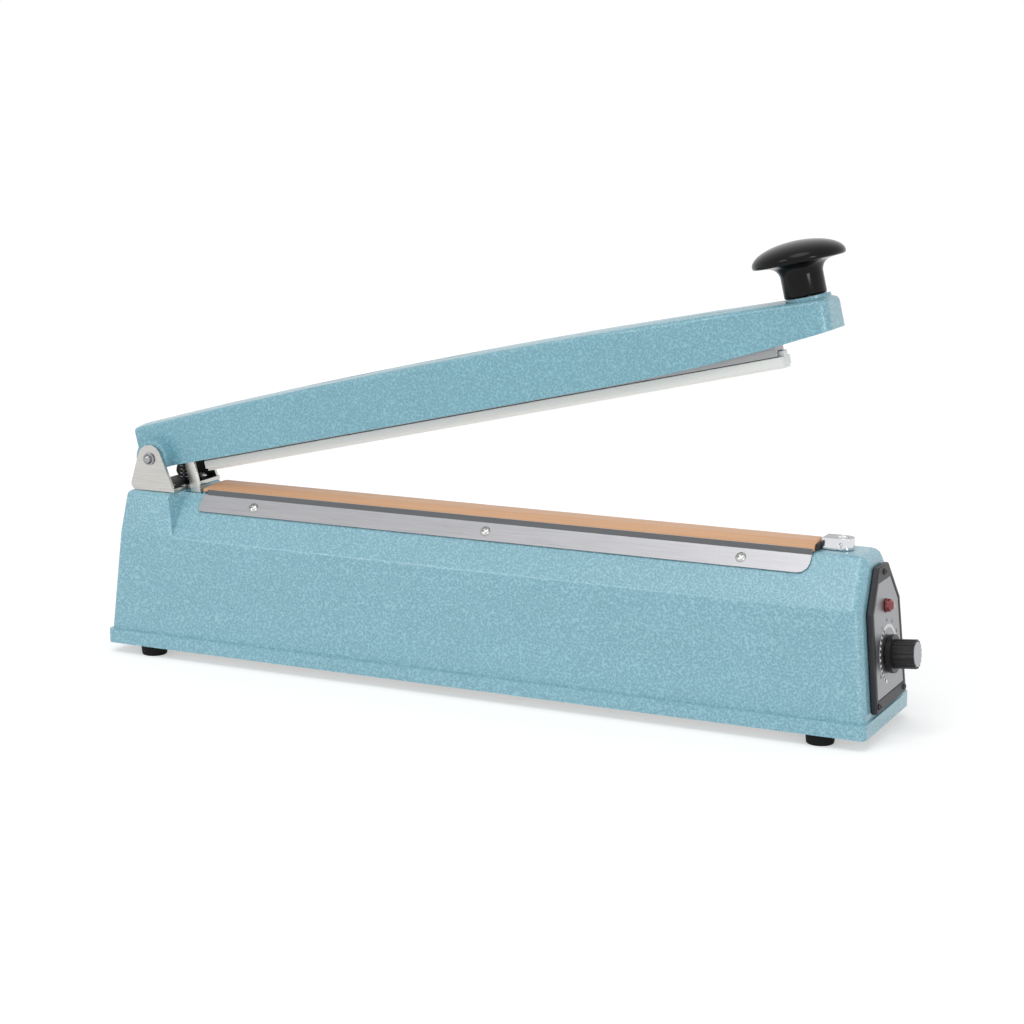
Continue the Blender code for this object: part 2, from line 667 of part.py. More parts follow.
def cast_mesh(name, inset, floor):
    """The base's body with its hinge block, moved inwards by inset, with rounded edges at both ends."""
    turns = [math.pi / 2 * i / CORNER_STEPS for i in range(CORNER_STEPS + 1)]
    radius = HINGE_END_RADIUS - inset
    rings = []
    for turn in turns:
        outline = house_outline(BLOCK_TOP_WIDTH, inset + radius * (1 - math.sin(turn)), floor)
        back = inset + radius * (1 - math.cos(turn))
        rings.append([(hinge_wall(z) + back, y, z) for y, z in outline])
    for top_width, ahead in ((BLOCK_TOP_WIDTH, 0), (RIDGE_WIDTH, BLOCK_FRONT_RUN)):
        outline = house_outline(top_width, inset, floor)
        rings.append([(block_front(z) - inset + ahead, y, z) for y, z in outline])
    radius = PANEL_END_RADIUS - inset
    for turn in reversed(turns):
        outline = house_outline(RIDGE_WIDTH, inset + radius * (1 - math.sin(turn)), floor)
        back = inset + radius * (1 - math.cos(turn))
        rings.append([(panel_wall(z) - back, y, z) for y, z in outline])
    return loft_mesh(name, rings)


def rectangle(low_x, low_y, high_x, high_y):
    return [(low_x, low_y), (high_x, low_y), (high_x, high_y), (low_x, high_y)]


def cover_screw_places():
    return [
        (x, side * (BASE_WIDTH / 2 - BOSS_SIDE_INSET))
        for x in (COVER_SCREW_END_INSET, BASE_LENGTH - COVER_SCREW_END_INSET)
        for side in (-1, 1)
    ]


def trim_screw_places():
    first = TRIM_START + TRIM_SCREW_START_INSET
    last = TRIM_END - TRIM_SCREW_END_INSET
    return [first + (last - first) * i / (TRIM_SCREW_COUNT - 1) for i in range(TRIM_SCREW_COUNT)]


def trim_screw_drop():
    """How far down the slope from the ridge the trim screws sit."""
    return trim_lip_foot()[1] + TRIM_SCREW_DROP


def bracket_screw_places():
    across = BRACKET_WIDTH / 2 - BRACKET_SCREW_INSET
    return [(BRACKET_END - BRACKET_SCREW_SETBACK, side * across) for side in (-1, 1)]


def panel_screw_places():
    across = BEZEL_BOTTOM_WIDTH / 2 - PANEL_SCREW_SIDE_INSET
    bottom = [(side * across, PANEL_SCREW_BOTTOM_INSET - BEZEL_BOTTOM) for side in (-1, 1)]
    return [(0, BEZEL_TOP - PANEL_SCREW_TOP_INSET), *bottom]


def blade_slot_sides():
    """Y of the slot's near and far sides, clear of the blade."""
    near = -(ARM_WIDTH / 2 - ARM_WALL - TOUCH_GAP)
    return near - SLOT_SIDE_GAP, near + BLADE_THICKNESS + SLOT_SIDE_GAP


def make_base_casting():
    outline = rounded(
        rectangle(0, -BASE_WIDTH / 2, BASE_LENGTH, BASE_WIDTH / 2), [FLANGE_CORNER_RADIUS] * 4, CORNER_STEPS
    )
    casting = add_part(
        "base_casting", outline_mesh("base_casting", outline, "Z", FOOT_HEIGHT, FLANGE_TOP), PAINT, BASE
    )
    join(casting, "cast_body", cast_mesh("cast_body", 0, FLANGE_TOP - FLANGE_SIDE_STEP), BASE)
    cut(casting, "cast_hollow", cast_mesh("cast_hollow", BODY_WALL, FOOT_HEIGHT - CUT_OVERRUN), BASE)
    for i, place in enumerate(cover_screw_places()):
        boss = round_mesh(
            f"cover_boss_{i}", BOSS_RADIUS, "Z", COVER_TOP + TOUCH_GAP, BOSS_TOP, place
        )
        join(casting, f"cover_boss_{i}", boss, BASE)
        hole = round_mesh(
            f"cover_screw_hole_{i}",
            COVER_SCREW_RADIUS + TOUCH_GAP,
            "Z",
            FOOT_HEIGHT,
            FOOT_HEIGHT + COVER_SCREW_LENGTH + CUT_OVERRUN,
            place,
        )
        cut(casting, f"cover_screw_hole_{i}", hole, BASE)
    cut_top_holes(casting)
    cut_wall_holes(casting)
    return casting


def cut_top_holes(casting):
    """The blade's slot, and the holes for the bracket, end post and trim screws."""
    near, far = blade_slot_sides()
    slot = box_mesh(
        "blade_slot",
        (SLOT_START, near, RIDGE_HEIGHT - 2 * BODY_WALL - CUT_OVERRUN),
        (SLOT_END, far, RIDGE_HEIGHT + CUT_OVERRUN),
    )
    cut(casting, "blade_slot", slot, BASE)
    low = RIDGE_HEIGHT - BODY_WALL - CUT_OVERRUN
    for i, place in enumerate(bracket_screw_places()):
        hole = round_mesh(
            f"bracket_screw_hole_{i}", BRACKET_SCREW_RADIUS + TOUCH_GAP, "Z", low, BRACKET_TOP, place
        )
        cut(casting, f"bracket_screw_hole_{i}", hole, BASE)
    hole = round_mesh(
        "end_post_screw_hole", END_POST_SCREW_RADIUS + TOUCH_GAP, "Z", low, BRACKET_TOP, end_post_screw_place()
    )
    cut(casting, "end_post_screw_hole", hole, BASE)
    for side, slope in SLOPES.items():
        for i, x in enumerate(trim_screw_places()):
            name = f"trim_screw_hole_{side + 1}_{i}"
            depth = BODY_WALL - TOUCH_GAP
            hole = round_mesh(
                name, TRIM_SCREW_RADIUS + TOUCH_GAP, "Z", -depth, CUT_OVERRUN, (x, side * trim_screw_drop())
            )
            cut(casting, name, hole, slope)


def cut_wall_holes(casting):
    """The holes in the end walls, for the lamp, the timer, the panel screws and the cord."""
    low = -BODY_WALL - CUT_OVERRUN
    hole = round_mesh(
        "timer_hole", POT_BUSH_RADIUS + TOUCH_GAP, "X", low, CUT_OVERRUN, steps=ROUND_STEPS
    )
    cut(casting, "timer_hole", hole, PANEL)
    hole = round_mesh("lamp_hole", LAMP_RADIUS + TOUCH_GAP, "X", low, CUT_OVERRUN, (0, LAMP_RISE))
    cut(casting, "lamp_hole", hole, PANEL)
    for i, place in enumerate(panel_screw_places()):
        hole = round_mesh(
            f"panel_screw_hole_{i}",
            PANEL_SCREW_RADIUS + TOUCH_GAP,
            "X",
            TOUCH_GAP - BODY_WALL,
            CUT_OVERRUN,
            place,
        )
        cut(casting, f"panel_screw_hole_{i}", hole, PANEL)
    hole = round_mesh("inlet_hole", INLET_RADIUS, "X", -CUT_OVERRUN, BODY_WALL + CUT_OVERRUN, steps=ROUND_STEPS)
    cut(casting, "inlet_hole", hole, INLET)


def make_bottom_cover():
    start = hinge_wall(COVER_TOP) + BODY_WALL + TOUCH_GAP
    end = panel_wall(COVER_TOP) - BODY_WALL - TOUCH_GAP
    half = side_wall(COVER_TOP) - BODY_WALL - TOUCH_GAP
    outline = rounded(rectangle(start, -half, end, half), [COVER_CORNER_RADIUS] * 4, CORNER_STEPS)
    cover = add_part(
        "bottom_cover", outline_mesh("bottom_cover", outline, "Z", FOOT_HEIGHT, COVER_TOP), ZINC, BASE
    )
    for i, place in enumerate(cover_screw_places()):
        name = f"cover_hole_{i}"
        hole = round_mesh(
            name,
            COVER_SCREW_RADIUS + TOUCH_GAP,
            "Z",
            FOOT_HEIGHT - CUT_OVERRUN,
            COVER_TOP + CUT_OVERRUN,
            place,
        )
        cut(cover, name, hole, BASE)
    return cover


def make_feet():
    profile = [
        (0, FOOT_HEIGHT - TOUCH_GAP),
        (FOOT_RADIUS, FOOT_HEIGHT - TOUCH_GAP),
        (FOOT_RADIUS - FOOT_FLARE, 0),
        (FOOT_RECESS_RADIUS, 0),
        (FOOT_RECESS_RADIUS, FOOT_RECESS_DEPTH),
        (0, FOOT_RECESS_DEPTH),
    ]
    number = 0
    for x in (FOOT_END_INSET, BASE_LENGTH - FOOT_END_INSET):
        for side in (-1, 1):
            number += 1
            place = (x, side * (BASE_WIDTH / 2 - FOOT_SIDE_INSET), 0)
            turned_part(f"rubber_foot_{number}", profile, RUBBER, BASE, place)


def pan_screw_profile(radius, length, head_radius, head_height):
    """A pan-head screw, with the head's seat at height zero and the head above it."""
    shoulder = head_height / 2
    flat_share = 0.6
    return [
        (0, head_height),
        (head_radius * flat_share, head_height),
        (head_radius, shoulder),
        (head_radius, 0),
        (radius, 0),
        (radius, -length),
        (0, -length),
    ]


def make_cover_screws():
    profile = pan_screw_profile(
        COVER_SCREW_RADIUS, COVER_SCREW_LENGTH, COVER_SCREW_HEAD_RADIUS, COVER_SCREW_HEAD_HEIGHT
    )
    for i, (x, y) in enumerate(cover_screw_places()):
        screw = turned_part(
            f"cover_screw_{i + 1}",
            profile,
            ZINC,
            BASE,
            (x, y, FOOT_HEIGHT - TOUCH_GAP),
            steps=SMALL_ROUND_STEPS,
        )
        screw.rotation_euler = (math.pi, 0, 0)


def make_hinge_bracket():
    start = BRACKET_START
    end = BRACKET_END
    bottom = RIDGE_HEIGHT + TOUCH_GAP
    half = BRACKET_WIDTH / 2
    sole = box_mesh("hinge_bracket", (start + 2 * EAR_HEEL_RADIUS, -half, bottom), (end, half, BRACKET_TOP))
    bracket = add_part("hinge_bracket", sole, STEEL, BASE)
    for side, name in ((-1, "near_ear"), (1, "far_ear")):
        low, high = sorted((side * half, side * (half - BRACKET_SHEET)))
        join(bracket, name, outline_mesh(name, ear_outline(start, end, bottom), "Y", low, high), BASE)
    hole = round_mesh(
        "bracket_pin_hole",
        PIN_RADIUS + TOUCH_GAP,
        "Y",
        -half - CUT_OVERRUN,
        half + CUT_OVERRUN,
        (PIN_X, PIN_HEIGHT),
        ROUND_STEPS,
    )
    cut(bracket, "bracket_pin_hole", hole, BASE)
    for i, place in enumerate(bracket_screw_places()):
        name = f"bracket_hole_{i}"
        hole = round_mesh(
            name,
            BRACKET_SCREW_RADIUS + TOUCH_GAP,
            "Z",
            bottom - CUT_OVERRUN,
            BRACKET_TOP + CUT_OVERRUN,
            place,
        )
        cut(bracket, name, hole, BASE)
    near, far = blade_slot_sides()
    notch = box_mesh(
        "blade_notch",
        (SLOT_START, near, bottom - CUT_OVERRUN),
        (end + CUT_OVERRUN, far, BRACKET_TOP + CUT_OVERRUN),
    )
    cut(bracket, "blade_notch", notch, BASE)
    return bracket


def ear_outline(start, end, bottom):
    """The bracket's ear as XZ points: a flat foot, with two straight sides that run on to the round top."""
    pin = Vector((PIN_X, PIN_HEIGHT))
    sides = []
    for corner, turn in ((Vector((end, bottom)), -1), (Vector((start, bottom)), 1)):
        away = corner - pin
        spread = math.acos(EAR_TOP_RADIUS / away.length)
        sides.append(math.atan2(away.y, away.x) - turn * spread)
    right, left = sides
    if right < 0:
        right += 2 * math.pi
    if left < right:
        left += 2 * math.pi
    if right > math.pi:
        right -= 2 * math.pi
        left -= 2 * math.pi
    top = arc(pin, EAR_TOP_RADIUS, right, left, 2 * CORNER_STEPS)
    outline = [(end, bottom), *top, (start, bottom)]
    heel = rounded([outline[-2], outline[-1], outline[0]], [0, EAR_HEEL_RADIUS, 0], CORNER_STEPS)
    return [outline[0], *top[:-1], *heel[:-1]]


def make_pin():
    half = BRACKET_WIDTH / 2 + TOUCH_GAP
    length = BRACKET_WIDTH + 2 * TOUCH_GAP + PIN_NUT_THICKNESS + PIN_TAIL
    crown = [
        (PIN_DOME_RADIUS * math.cos(a), PIN_HEAD_THICKNESS + PIN_DOME_HEIGHT * math.sin(a))
        for a in (math.pi / 2 * (1 - i / CORNER_STEPS) for i in range(CORNER_STEPS + 1))
    ]
    profile = [
        (0, crown[0][1]),
        *crown[1:],
        (PIN_HEAD_RADIUS, PIN_HEAD_THICKNESS),
        (PIN_HEAD_RADIUS, 0),
        (PIN_RADIUS, 0),
        (PIN_RADIUS, -length),
        (0, -length),
    ]
    pin = turned_part("hinge_pin", profile, STEEL, BASE, (PIN_X, -half, PIN_HEIGHT))
    pin.rotation_euler = (math.pi / 2, 0, 0)
    nut = add_part(
        "pin_nut",
        round_mesh("pin_nut", PIN_NUT_RADIUS, "Y", half, half + PIN_NUT_THICKNESS, (PIN_X, PIN_HEIGHT), 6),
        ZINC,
        BASE,
    )
    bore = round_mesh(
        "pin_nut_bore",
        PIN_RADIUS + TOUCH_GAP,
        "Y",
        half - CUT_OVERRUN,
        half + PIN_NUT_THICKNESS + CUT_OVERRUN,
        (PIN_X, PIN_HEIGHT),
    )
    cut(nut, "pin_nut_bore", bore, BASE)


def make_bracket_screws():
    profile = pan_screw_profile(
        BRACKET_SCREW_RADIUS, BRACKET_SCREW_LENGTH, BRACKET_SCREW_HEAD_RADIUS, BRACKET_SCREW_HEAD_HEIGHT
    )
    for i, (x, y) in enumerate(bracket_screw_places()):
        turned_part(
            f"bracket_screw_{i + 1}",
            profile,
            ZINC,
            BASE,
            (x, y, BRACKET_TOP + TOUCH_GAP),
            steps=SMALL_ROUND_STEPS,
        )


def arm_section(half, low, high, crown):
    """The arm's cross-section as YZ points: straight sides, rounded top edges and a gently crowned top."""
    inner = half - ARM_EDGE_RADIUS
    shoulder = high - crown
    edge = arc((inner, shoulder - ARM_EDGE_RADIUS), ARM_EDGE_RADIUS, 0, math.pi / 2, EDGE_STEPS)
    third = inner / 3
    right = [(half, low), *edge, (2 * third, high - crown * 4 / 9), (third, high - crown / 9)]
    left = [(-y, z) for y, z in reversed(right)]
    return [*right, (0, high), *left]


def arm_rings(wall, rear, reach, nose_radius, rear_radius, floor=None):
    """Rings of the arm's skin, or of its hollow when wall isn't zero and floor is given."""
    half = ARM_WIDTH / 2 - wall
    turns = [math.pi / 2 * i / CORNER_STEPS for i in range(CORNER_STEPS + 1)]
    stations = [
        (rear + rear_radius * (1 - math.cos(turn)), rear_radius * (1 - math.sin(turn))) for turn in turns
    ]
    first = rear + rear_radius
    last = reach - nose_radius
    stations += [(first + (last - first) * i / ARM_STATIONS, 0) for i in range(1, ARM_STATIONS)]
    stations += [
        (reach - nose_radius * (1 - math.cos(turn)), nose_radius * (1 - math.sin(turn)))
        for turn in reversed(turns)
    ]
    rings = []
    for x, narrowing in stations:
        low = arm_skirt(x) if floor is None else floor
        high = arm_crest(x) - wall - narrowing * ARM_EDGE_RADIUS / ARM_NOSE_RADIUS
        rings.append([(x, y, z) for y, z in arm_section(half - narrowing, low, high, ARM_CROWN)])
    return rings


def knob_forward():
    return ARM_REACH - KNOB_SETBACK


def knob_seat():
    """Height of the knob's foot above the pin, clear of the pad under it."""
    return arm_crest(knob_forward() - KNOB_STEM_RADIUS) + TOUCH_GAP


def make_arm_casting():
    rings = arm_rings(0, -ARM_REAR, ARM_REACH, ARM_NOSE_RADIUS, ARM_REAR_RADIUS)
    casting = add_part("arm_casting", loft_mesh("arm_casting", rings), PAINT, ARM)
    hollow = arm_rings(
        ARM_WALL,
        ARM_WALL - ARM_REAR,
        ARM_REACH - ARM_NOSE_SOLID_LENGTH,
        ARM_NOSE_RADIUS - ARM_WALL,
        ARM_REAR_RADIUS - ARM_WALL,
        -ARM_SKIRT_DROP - CUT_OVERRUN,
    )
    cut(casting, "arm_hollow", loft_mesh("arm_hollow", hollow), ARM)
    add_pin_bosses(casting)
    add_stud_boss(casting)
    add_spring_boss(casting)
    hole = round_mesh(
        "blade_screw_hole",
        BLADE_SCREW_RADIUS + TOUCH_GAP,
        "Y",
        -ARM_WIDTH / 2 + ARM_WALL / 3,
        -ARM_WIDTH / 2 + ARM_WALL + CUT_OVERRUN,
        (BLADE_FORWARD, BLADE_SCREW_RISE),
    )
    cut(casting, "blade_screw_hole", hole, ARM)
    return casting


def add_pin_bosses(casting):
    """The round bosses between the arm's sides and the bracket's ears, and the bore for the pin."""
    low_angle = -math.asin(ARM_SKIRT_DROP / ARM_BOSS_RADIUS)
    outline = arc((0, 0), ARM_BOSS_RADIUS, low_angle, math.pi - low_angle, 2 * ROUND_STEPS // 3)
    for side, name in ((-1, "near_boss"), (1, "far_boss")):
        low, high = sorted((side * (ARM_WIDTH / 2 - ARM_WALL / 2), side * ARM_BOSS_WIDTH / 2))
        join(casting, name, outline_mesh(name, outline, "Y", low, high), ARM)
    reach = ARM_BOSS_WIDTH / 2 + CUT_OVERRUN
    bore = round_mesh("arm_bore", PIN_RADIUS + TOUCH_GAP, "Y", -reach, reach, steps=ROUND_STEPS)
    cut(casting, "arm_bore", bore, ARM)


def add_stud_boss(casting):
    centre = (knob_forward(), 0)
    roof = knob_seat() - TOUCH_GAP
    boss = round_mesh(
        "stud_boss",
        STUD_BOSS_RADIUS,
        "Z",
        roof - ARM_WALL - STUD_BOSS_DROP,
        roof - ARM_WALL / 2 - ARM_CROWN / 2,
        centre,
    )
    join(casting, "stud_boss", boss, ARM)
    pad = round_mesh(
        "knob_pad",
        KNOB_STEM_RADIUS + KNOB_PAD_MARGIN,
        "Z",
        roof - ARM_WALL,
        roof,
        centre,
        2 * ROUND_STEPS,
    )
    join(casting, "knob_pad", pad, ARM)
    hole = round_mesh(
        "stud_hole",
        STUD_RADIUS + TOUCH_GAP,
        "Z",
        roof - ARM_WALL - STUD_BOSS_DROP - CUT_OVERRUN,
        roof + CUT_OVERRUN,
        centre,
    )
    cut(casting, "stud_hole", hole, ARM)


def spring_seat_on_arm():
    """The spring's top, in the arm's own axes."""
    across = SPRING_X - PIN_X
    up = SPRING_TOP + TOUCH_GAP - PIN_HEIGHT
    cos, sin = math.cos(ARM_REST_ANGLE), math.sin(ARM_REST_ANGLE)
    return across * cos + up * sin, up * cos - across * sin


def add_spring_boss(casting):
    """A boss under the arm's roof whose foot is square to the spring while the arm stands open."""
    across, up = spring_seat_on_arm()
    roof = arm_crest(across) - ARM_WALL * 2 / 3
    length = (roof - up) / math.cos(ARM_REST_ANGLE)
    mesh = round_mesh("spring_boss", SPRING_BOSS_RADIUS, "Z", 0, length)
    helper = add_helper("spring_boss", mesh, ARM)
    helper.location = (across, 0, up)
    helper.rotation_euler = (0, ARM_REST_ANGLE, 0)
    boolean(casting, helper, "UNION")


def make_pressure_bar():
    half = BAR_WIDTH / 2
    groove = BAR_GROOVE_WIDTH / 2
    top = BAR_SEAT + BAR_HEIGHT
    ceiling = BAR_SEAT + BAR_GROOVE_DEPTH
    outline = [
        (-half, BAR_SEAT),
        (-groove, BAR_SEAT),
        (-groove, ceiling),
        (groove, ceiling),
        (groove, BAR_SEAT),
        (half, BAR_SEAT),
        (half, top),
        (-half, top),
    ]
    mesh = outline_mesh("pressure_bar", outline, "X", BAR_START, BAR_START + BAR_LENGTH)
    add_part("pressure_bar", mesh, ALUMINIUM, ARM)


def make_silicone_strip():
    half = SILICONE_WIDTH / 2
    lip = SILICONE_LIP_WIDTH / 2
    key = BAR_GROOVE_WIDTH / 2 - TOUCH_GAP
    step = BAR_BOTTOM + SILICONE_LIP_HEIGHT
    shelf = step + SILICONE_HEIGHT
    crown = BAR_SEAT + BAR_GROOVE_DEPTH - TOUCH_GAP
    outline = [
        (-lip, BAR_BOTTOM),
        (lip, BAR_BOTTOM),
        (lip, step),
        (half, step),
        (half, shelf),
        (key, shelf),
        (key, crown),
        (-key, crown),
        (-key, shelf),
        (-half, shelf),
        (-half, step),
        (-lip, step),
    ]
    end = BAR_START + BAR_LENGTH + SILICONE_OVERHANG
    add_part("silicone_strip", outline_mesh("silicone_strip", outline, "X", BAR_START, end), SILICONE, ARM)


def make_bar_posts():
    """The posts that hang the bar from the arm's roof."""
    low = BAR_SEAT + BAR_HEIGHT + TOUCH_GAP
    pitch = (BAR_LENGTH - 2 * POST_INSET) / (POST_COUNT - 1)
    for i in range(POST_COUNT):
        x = BAR_START + POST_INSET + pitch * i
        high = min(arm_crest(x - POST_RADIUS), arm_crest(x + POST_RADIUS)) - ARM_WALL - TOUCH_GAP
        high -= ARM_CROWN * (POST_RADIUS / (ARM_WIDTH / 2 - ARM_WALL - ARM_EDGE_RADIUS)) ** 2
        name = f"bar_post_{i + 1}"
        add_part(name, round_mesh(name, POST_RADIUS, "Z", low, high, (x, 0)), ZINC, ARM)


def knob_profile():
    """The mushroom knob: a waisted stem that flares into a domed cap."""
    dome = [
        (KNOB_CAP_RADIUS * math.sin(a), KNOB_RIM_HEIGHT + (KNOB_HEIGHT - KNOB_RIM_HEIGHT) * math.cos(a))
        for a in (math.pi / 2 * i / (2 * CORNER_STEPS) for i in range(2 * CORNER_STEPS + 1))
    ]
    rim_shares = ((0.985, 0.42), (0.93, 0.72), (0.84, 0.9))
    rim_drop = KNOB_RIM_HEIGHT - KNOB_UNDERCUT_HEIGHT
    rim = [(KNOB_CAP_RADIUS * r, KNOB_RIM_HEIGHT - rim_drop * drop) for r, drop in rim_shares]
    flare = KNOB_CAP_RADIUS - KNOB_STEM_RADIUS
    rise = KNOB_UNDERCUT_HEIGHT - KNOB_STEM_HEIGHT
    throat_shares = ((0.5, 0.96), (0.28, 0.82), (0.12, 0.55), (0.03, 0.2))
    throat = [(KNOB_STEM_RADIUS + flare * r, KNOB_STEM_HEIGHT + rise * up) for r, up in throat_shares]
    waist_shares = (0.976, 0.55)
    waist = (KNOB_STEM_RADIUS * waist_shares[0], KNOB_STEM_HEIGHT * waist_shares[1])
    return [(0, KNOB_HEIGHT), *dome[1:], *rim, *throat, waist, (KNOB_STEM_RADIUS, 0)]


def make_arm_knob():
    bore = STUD_RADIUS + TOUCH_GAP
    depth = STUD_INTO_KNOB + TOUCH_GAP
    profile = [*knob_profile(), (bore, 0), (bore, depth), (0, depth)]
    seat = (knob_forward(), 0, knob_seat())
    turned_part("arm_knob", profile, BLACK_PLASTIC, ARM, seat)
    low = knob_seat() - TOUCH_GAP - ARM_WALL - STUD_BOSS_DROP - STUD_RADIUS
    stud = round_mesh(
        "knob_stud", STUD_RADIUS, "Z", low, knob_seat() + STUD_INTO_KNOB, (knob_forward(), 0)
    )
    add_part("knob_stud", stud, ZINC, ARM)


def make_switch_blade():
    """The strip on the arm's near side that dips through the slot and presses the switch."""
    near = -(ARM_WIDTH / 2 - ARM_WALL - TOUCH_GAP)
    far = near + BLADE_THICKNESS
    corners = rectangle(
        BLADE_FORWARD - BLADE_WIDTH / 2, -BLADE_DROP, BLADE_FORWARD + BLADE_WIDTH / 2, BLADE_TOP
    )
    outline = rounded(corners, [BLADE_TIP_RADIUS, BLADE_TIP_RADIUS, 0, 0], EDGE_STEPS)
    blade = add_part("switch_blade", outline_mesh("switch_blade", outline, "Y", near, far), ZINC, ARM)
    place = (BLADE_FORWARD, BLADE_SCREW_RISE)
    hole = round_mesh(
        "blade_hole", BLADE_SCREW_RADIUS + TOUCH_GAP, "Y", near - CUT_OVERRUN, far + CUT_OVERRUN, place
    )
    cut(blade, "blade_hole", hole, ARM)
    profile = pan_screw_profile(
        BLADE_SCREW_RADIUS, BLADE_SCREW_LENGTH, BLADE_SCREW_HEAD_RADIUS, BLADE_SCREW_HEAD_HEIGHT
    )
    turned_part(
        "blade_screw",
        profile,
        ZINC,
        ARM,
        (BLADE_FORWARD, far + TOUCH_GAP, BLADE_SCREW_RISE),
        "Y",
        SMALL_ROUND_STEPS,
    )


def spring_path():
    """Points along the spring's wire, with both ends square to their seats for one wire diameter."""
    low = BRACKET_TOP + TOUCH_GAP
    high = SPRING_TOP
    coil_low = low + 3 * SPRING_WIRE / 2
    coil_high = high - 3 * SPRING_WIRE / 2
    count = SPRING_TURNS * SPRING_TURN_STEPS
    coil = []
    for i in range(count + 1):
        turn = 2 * math.pi * i / SPRING_TURN_STEPS
        height = coil_low + (coil_high - coil_low) * i / count
        coil.append(Vector((SPRING_RADIUS * math.cos(turn), SPRING_RADIUS * math.sin(turn), height)))
    foot = Vector((coil[0].x, coil[0].y, low))
    head = Vector((coil[-1].x, coil[-1].y, high))
    straight = Vector((0, 0, SPRING_WIRE))
    return [foot, foot + straight, *coil[1:-1], head - straight, head]


def least_coil_gap(path):
    """The least distance between the wire's surfaces on different turns."""
    apart = SPRING_TURN_STEPS // 2
    return min((a - b).length for i, a in enumerate(path) for b in path[i + apart :]) - SPRING_WIRE


def make_return_spring():
    path = spring_path()
    curve = bpy.data.curves.new("return_spring", "CURVE")
    curve.dimensions = "3D"
    curve.bevel_depth = SPRING_WIRE / 2
    curve.bevel_resolution = 1
    curve.use_fill_caps = True
    spline = curve.splines.new("POLY")
    spline.points.add(len(path) - 1)
    for point, place in zip(spline.points, path):
        point.co = (*place, 1)
    spring = bpy.data.objects.new("return_spring", curve)
    spring.parent = BASE
    spring.location = (SPRING_X, 0, 0)
    curve.materials.append(STEEL)
    PARTS.objects.link(spring)
    print(f"return_spring: least gap between turns {least_coil_gap(path) / MM:.2f} mm")
    base = BRACKET_TOP + TOUCH_GAP
    guide = round_mesh("spring_guide", GUIDE_RADIUS, "Z", base, base + GUIDE_HEIGHT, (SPRING_X, 0))
    add_part("spring_guide", guide, BLACK_PLASTIC, BASE)


def strip_levels(shrink, floor):
    """Outline of the heated strip's hipped cover at three heights, moved inwards by shrink."""
    half = STRIP_WIDTH / 2 - shrink
    top_half = STRIP_TOP_WIDTH / 2 - shrink / 2
    start = STRIP_START + shrink
    end = STRIP_END - shrink
    shoulder = STRIP_SHOULDER - shrink / 2
    return [
        [(x, y, floor) for x, y in rectangle(start, -half, end, half)],
        [(x, y, shoulder) for x, y in rectangle(start, -half, end, half)],
        [
            (x, y, STRIP_TOP - shrink)
            for x, y in rectangle(start + STRIP_START_SLOPE, -top_half, end - STRIP_END_SLOPE, top_half)
        ],
    ]


def make_heated_strip():
    base = RIDGE_HEIGHT + TOUCH_GAP
    cloth = add_part("ptfe_cloth", loft_mesh("ptfe_cloth", strip_levels(0, base)), CLOTH, BASE)
    hollow = loft_mesh("cloth_hollow", strip_levels(CLOTH_THICKNESS, base - CUT_OVERRUN))
    cut(cloth, "cloth_hollow", hollow, BASE)
    levels = strip_levels(CLOTH_THICKNESS + TOUCH_GAP, base)
    element_top = STRIP_TOP - CLOTH_THICKNESS - TOUCH_GAP
    board_top = element_top - ELEMENT_THICKNESS - TOUCH_GAP
    levels[2] = [(x, y, board_top) for x, y, _ in levels[2]]
    ridge_half = RIDGE_WIDTH / 2 - TOUCH_GAP
    levels[0] = [(x, max(-ridge_half, min(ridge_half, y)), z) for x, y, z in levels[0]]
    levels[1] = [(x, y, base + INSULATOR_SIDE_RISE) for x, y, _ in levels[1]]
    add_part("element_insulator", loft_mesh("element_insulator", levels), INSULATION, BASE)
    start = levels[2][0][0] + ELEMENT_END_INSET
    end = levels[2][1][0] - ELEMENT_END_INSET
    half = ELEMENT_WIDTH / 2
    low = (start, -half, element_top - ELEMENT_THICKNESS)
    add_part("heating_element", box_mesh("heating_element", low, (end, half, element_top)), NICHROME, BASE)


def trim_lip_foot():
    """The lip's foot below the ridge, sunk into the plate, and the plate's top edge down the slope from it."""
    across = TRIM_LIP_INNER - RIDGE_WIDTH / 2
    cos, sin = math.cos(SLOPE_ANGLE), math.sin(SLOPE_ANGLE)
    drop = (across * sin - TOUCH_GAP - TRIM_SHEET + TRIM_LIP_SINK) / cos
    return drop, across * cos + drop * sin - TRIM_TOP_MARGIN


